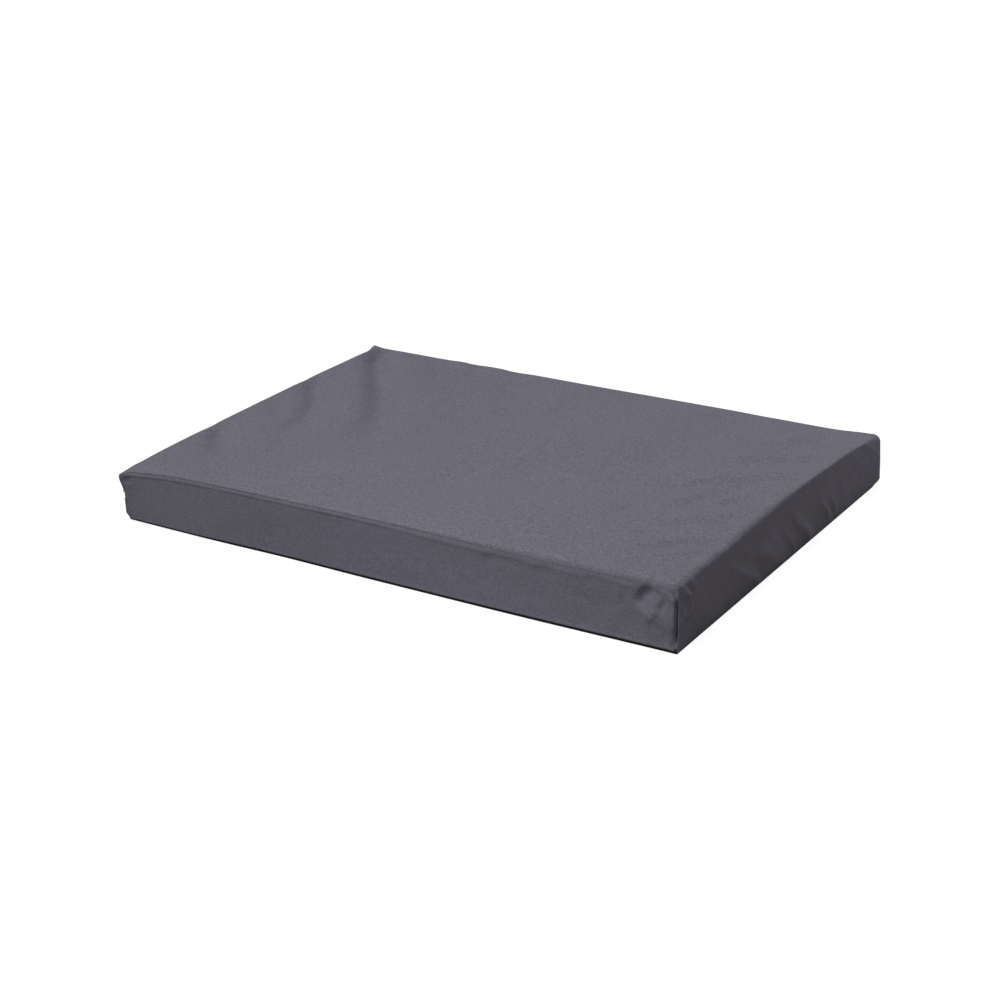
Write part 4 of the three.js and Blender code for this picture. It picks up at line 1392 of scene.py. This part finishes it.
# part, the body it rides on, width of its eased edges in mm
for node, body, width in (
    ("zip_bottom_stop", ROOT, 0.25),
    ("zip_top_stop_upper", ROOT, 0.25),
    ("zip_top_stop_lower", ROOT, 0.25),
    ("zip_slider", "slider", 0.32),
    ("zip_pull_tab", "pull_tab", 0.35),
):
    build_metal(node, body, width * MM, metal_material)
build_stitches(thread_material)

# ---- stage ----------------------------------------------------------------------
scene = bpy.context.scene


def build_world():
    """Soft light all round; the camera itself sees a brighter backdrop."""
    world = bpy.data.worlds.new("studio") if scene.world is None else scene.world
    scene.world = world
    world.use_nodes = True
    nodes, links = world.node_tree.nodes, world.node_tree.links
    nodes.clear()
    output = nodes.new("ShaderNodeOutputWorld")
    light = nodes.new("ShaderNodeBackground")
    backdrop = nodes.new("ShaderNodeBackground")
    mix = nodes.new("ShaderNodeMixShader")
    rays = nodes.new("ShaderNodeLightPath")
    for background, colour, strength in (
        (light, (0.985, 0.965, 0.965, 1), 0.25),
        (backdrop, (0.97, 0.97, 0.975, 1), 1.0),
    ):
        background.inputs["Color"].default_value = colour
        background.inputs["Strength"].default_value = strength
    links.new(rays.outputs["Is Camera Ray"], mix.inputs[0])
    links.new(light.outputs[0], mix.inputs[1])
    links.new(backdrop.outputs[0], mix.inputs[2])
    links.new(mix.outputs[0], output.inputs[0])


def floor_material():
    """Glows near white to the camera, and is a plain matt grey to all other rays."""
    mat = Surface("studio_floor")
    mat.tree.nodes.remove(mat.place.node)
    to_camera = mat.node("LightPath").outputs["Is Camera Ray"]
    colour = mat.mix(to_camera, (0.36, 0.35, 0.335), (0.12, 0.12, 0.12))
    return mat.finish(
        Base_Color=colour,
        Roughness=0.9,
        Specular_IOR_Level=0.0,
        Emission_Color=(1, 1, 1, 1),
        Emission_Strength=mat.math("MULTIPLY", to_camera, 0.945),
    )


def build_floor(half=14.0, z=-0.0002):
    mesh = bpy.data.meshes.new("floor")
    corners = [(-half, -half, z), (half, -half, z), (half, half, z), (-half, half, z)]
    mesh.from_pydata(corners, [], [(0, 1, 2, 3)])
    mesh.materials.append(floor_material())
    floor = bpy.data.objects.new("floor", mesh)
    scene.collection.objects.link(floor)


def add_light(name, kind, direction, location=(0, 0, 0), **settings):
    """direction points from the lit place back to the light."""
    light = bpy.data.lights.new(name, kind)
    assign(light, **settings)
    lamp = bpy.data.objects.new(name, light)
    scene.collection.objects.link(lamp)
    lamp.location = location
    lamp.rotation_mode = "QUATERNION"
    lamp.rotation_quaternion = Vector(direction).to_track_quat("Z", "Y")


def add_spot(name, location, target, spread, **settings):
    """A soft-edged spot aimed at target; spread is its cone in degrees."""
    direction = Vector(location) - Vector(target)
    size = math.radians(spread)
    add_light(name, "SPOT", direction, location, spot_size=size, spot_blend=1.0, **settings)


def add_camera():
    """Looks down at the mattress from the front right."""
    target = Vector((-0.0172, 0.0119, 0.0))
    elevation, azimuth, distance = math.radians(21.79), math.radians(29.91), 3.7525
    level = math.cos(elevation)
    back = Vector((math.sin(azimuth) * level, -math.cos(azimuth) * level, math.sin(elevation)))
    right = Vector((0, 0, 1)).cross(back).normalized()
    up = back.cross(right)
    lens = bpy.data.cameras.new("camera")
    assign(
        lens, sensor_fit="HORIZONTAL", sensor_width=36.0, lens=79.9848, clip_start=0.05, clip_end=60
    )
    camera = bpy.data.objects.new("camera", lens)
    scene.collection.objects.link(camera)
    camera.location = target + back * distance
    camera.rotation_mode = "QUATERNION"
    camera.rotation_quaternion = Matrix((right, up, back)).transposed().to_quaternion()
    scene.camera = camera


assign(scene.view_settings, view_transform="Standard", look="None", exposure=0.0, gamma=1.0)
build_world()
build_floor()
add_light(
    "key", "SUN", direction=(-0.20, -0.283, 0.75),
    energy=math.pi * 0.762, angle=math.radians(34), color=(0.99, 0.993, 1.015),
)
add_spot(
    "pool", location=(-0.25, -1.10, 1.15), target=(0.0, -0.42, 0.1), spread=46,
    energy=9.0, color=(0.88, 0.92, 1.12), shadow_soft_size=0.35,
)
# a weak fill from beyond the back right corner
add_spot(
    "fill", location=(0.95, 0.62, 0.30), target=(0.51, 0.34, 0.05), spread=44,
    energy=1.3, shadow_soft_size=0.15,
)
add_camera()
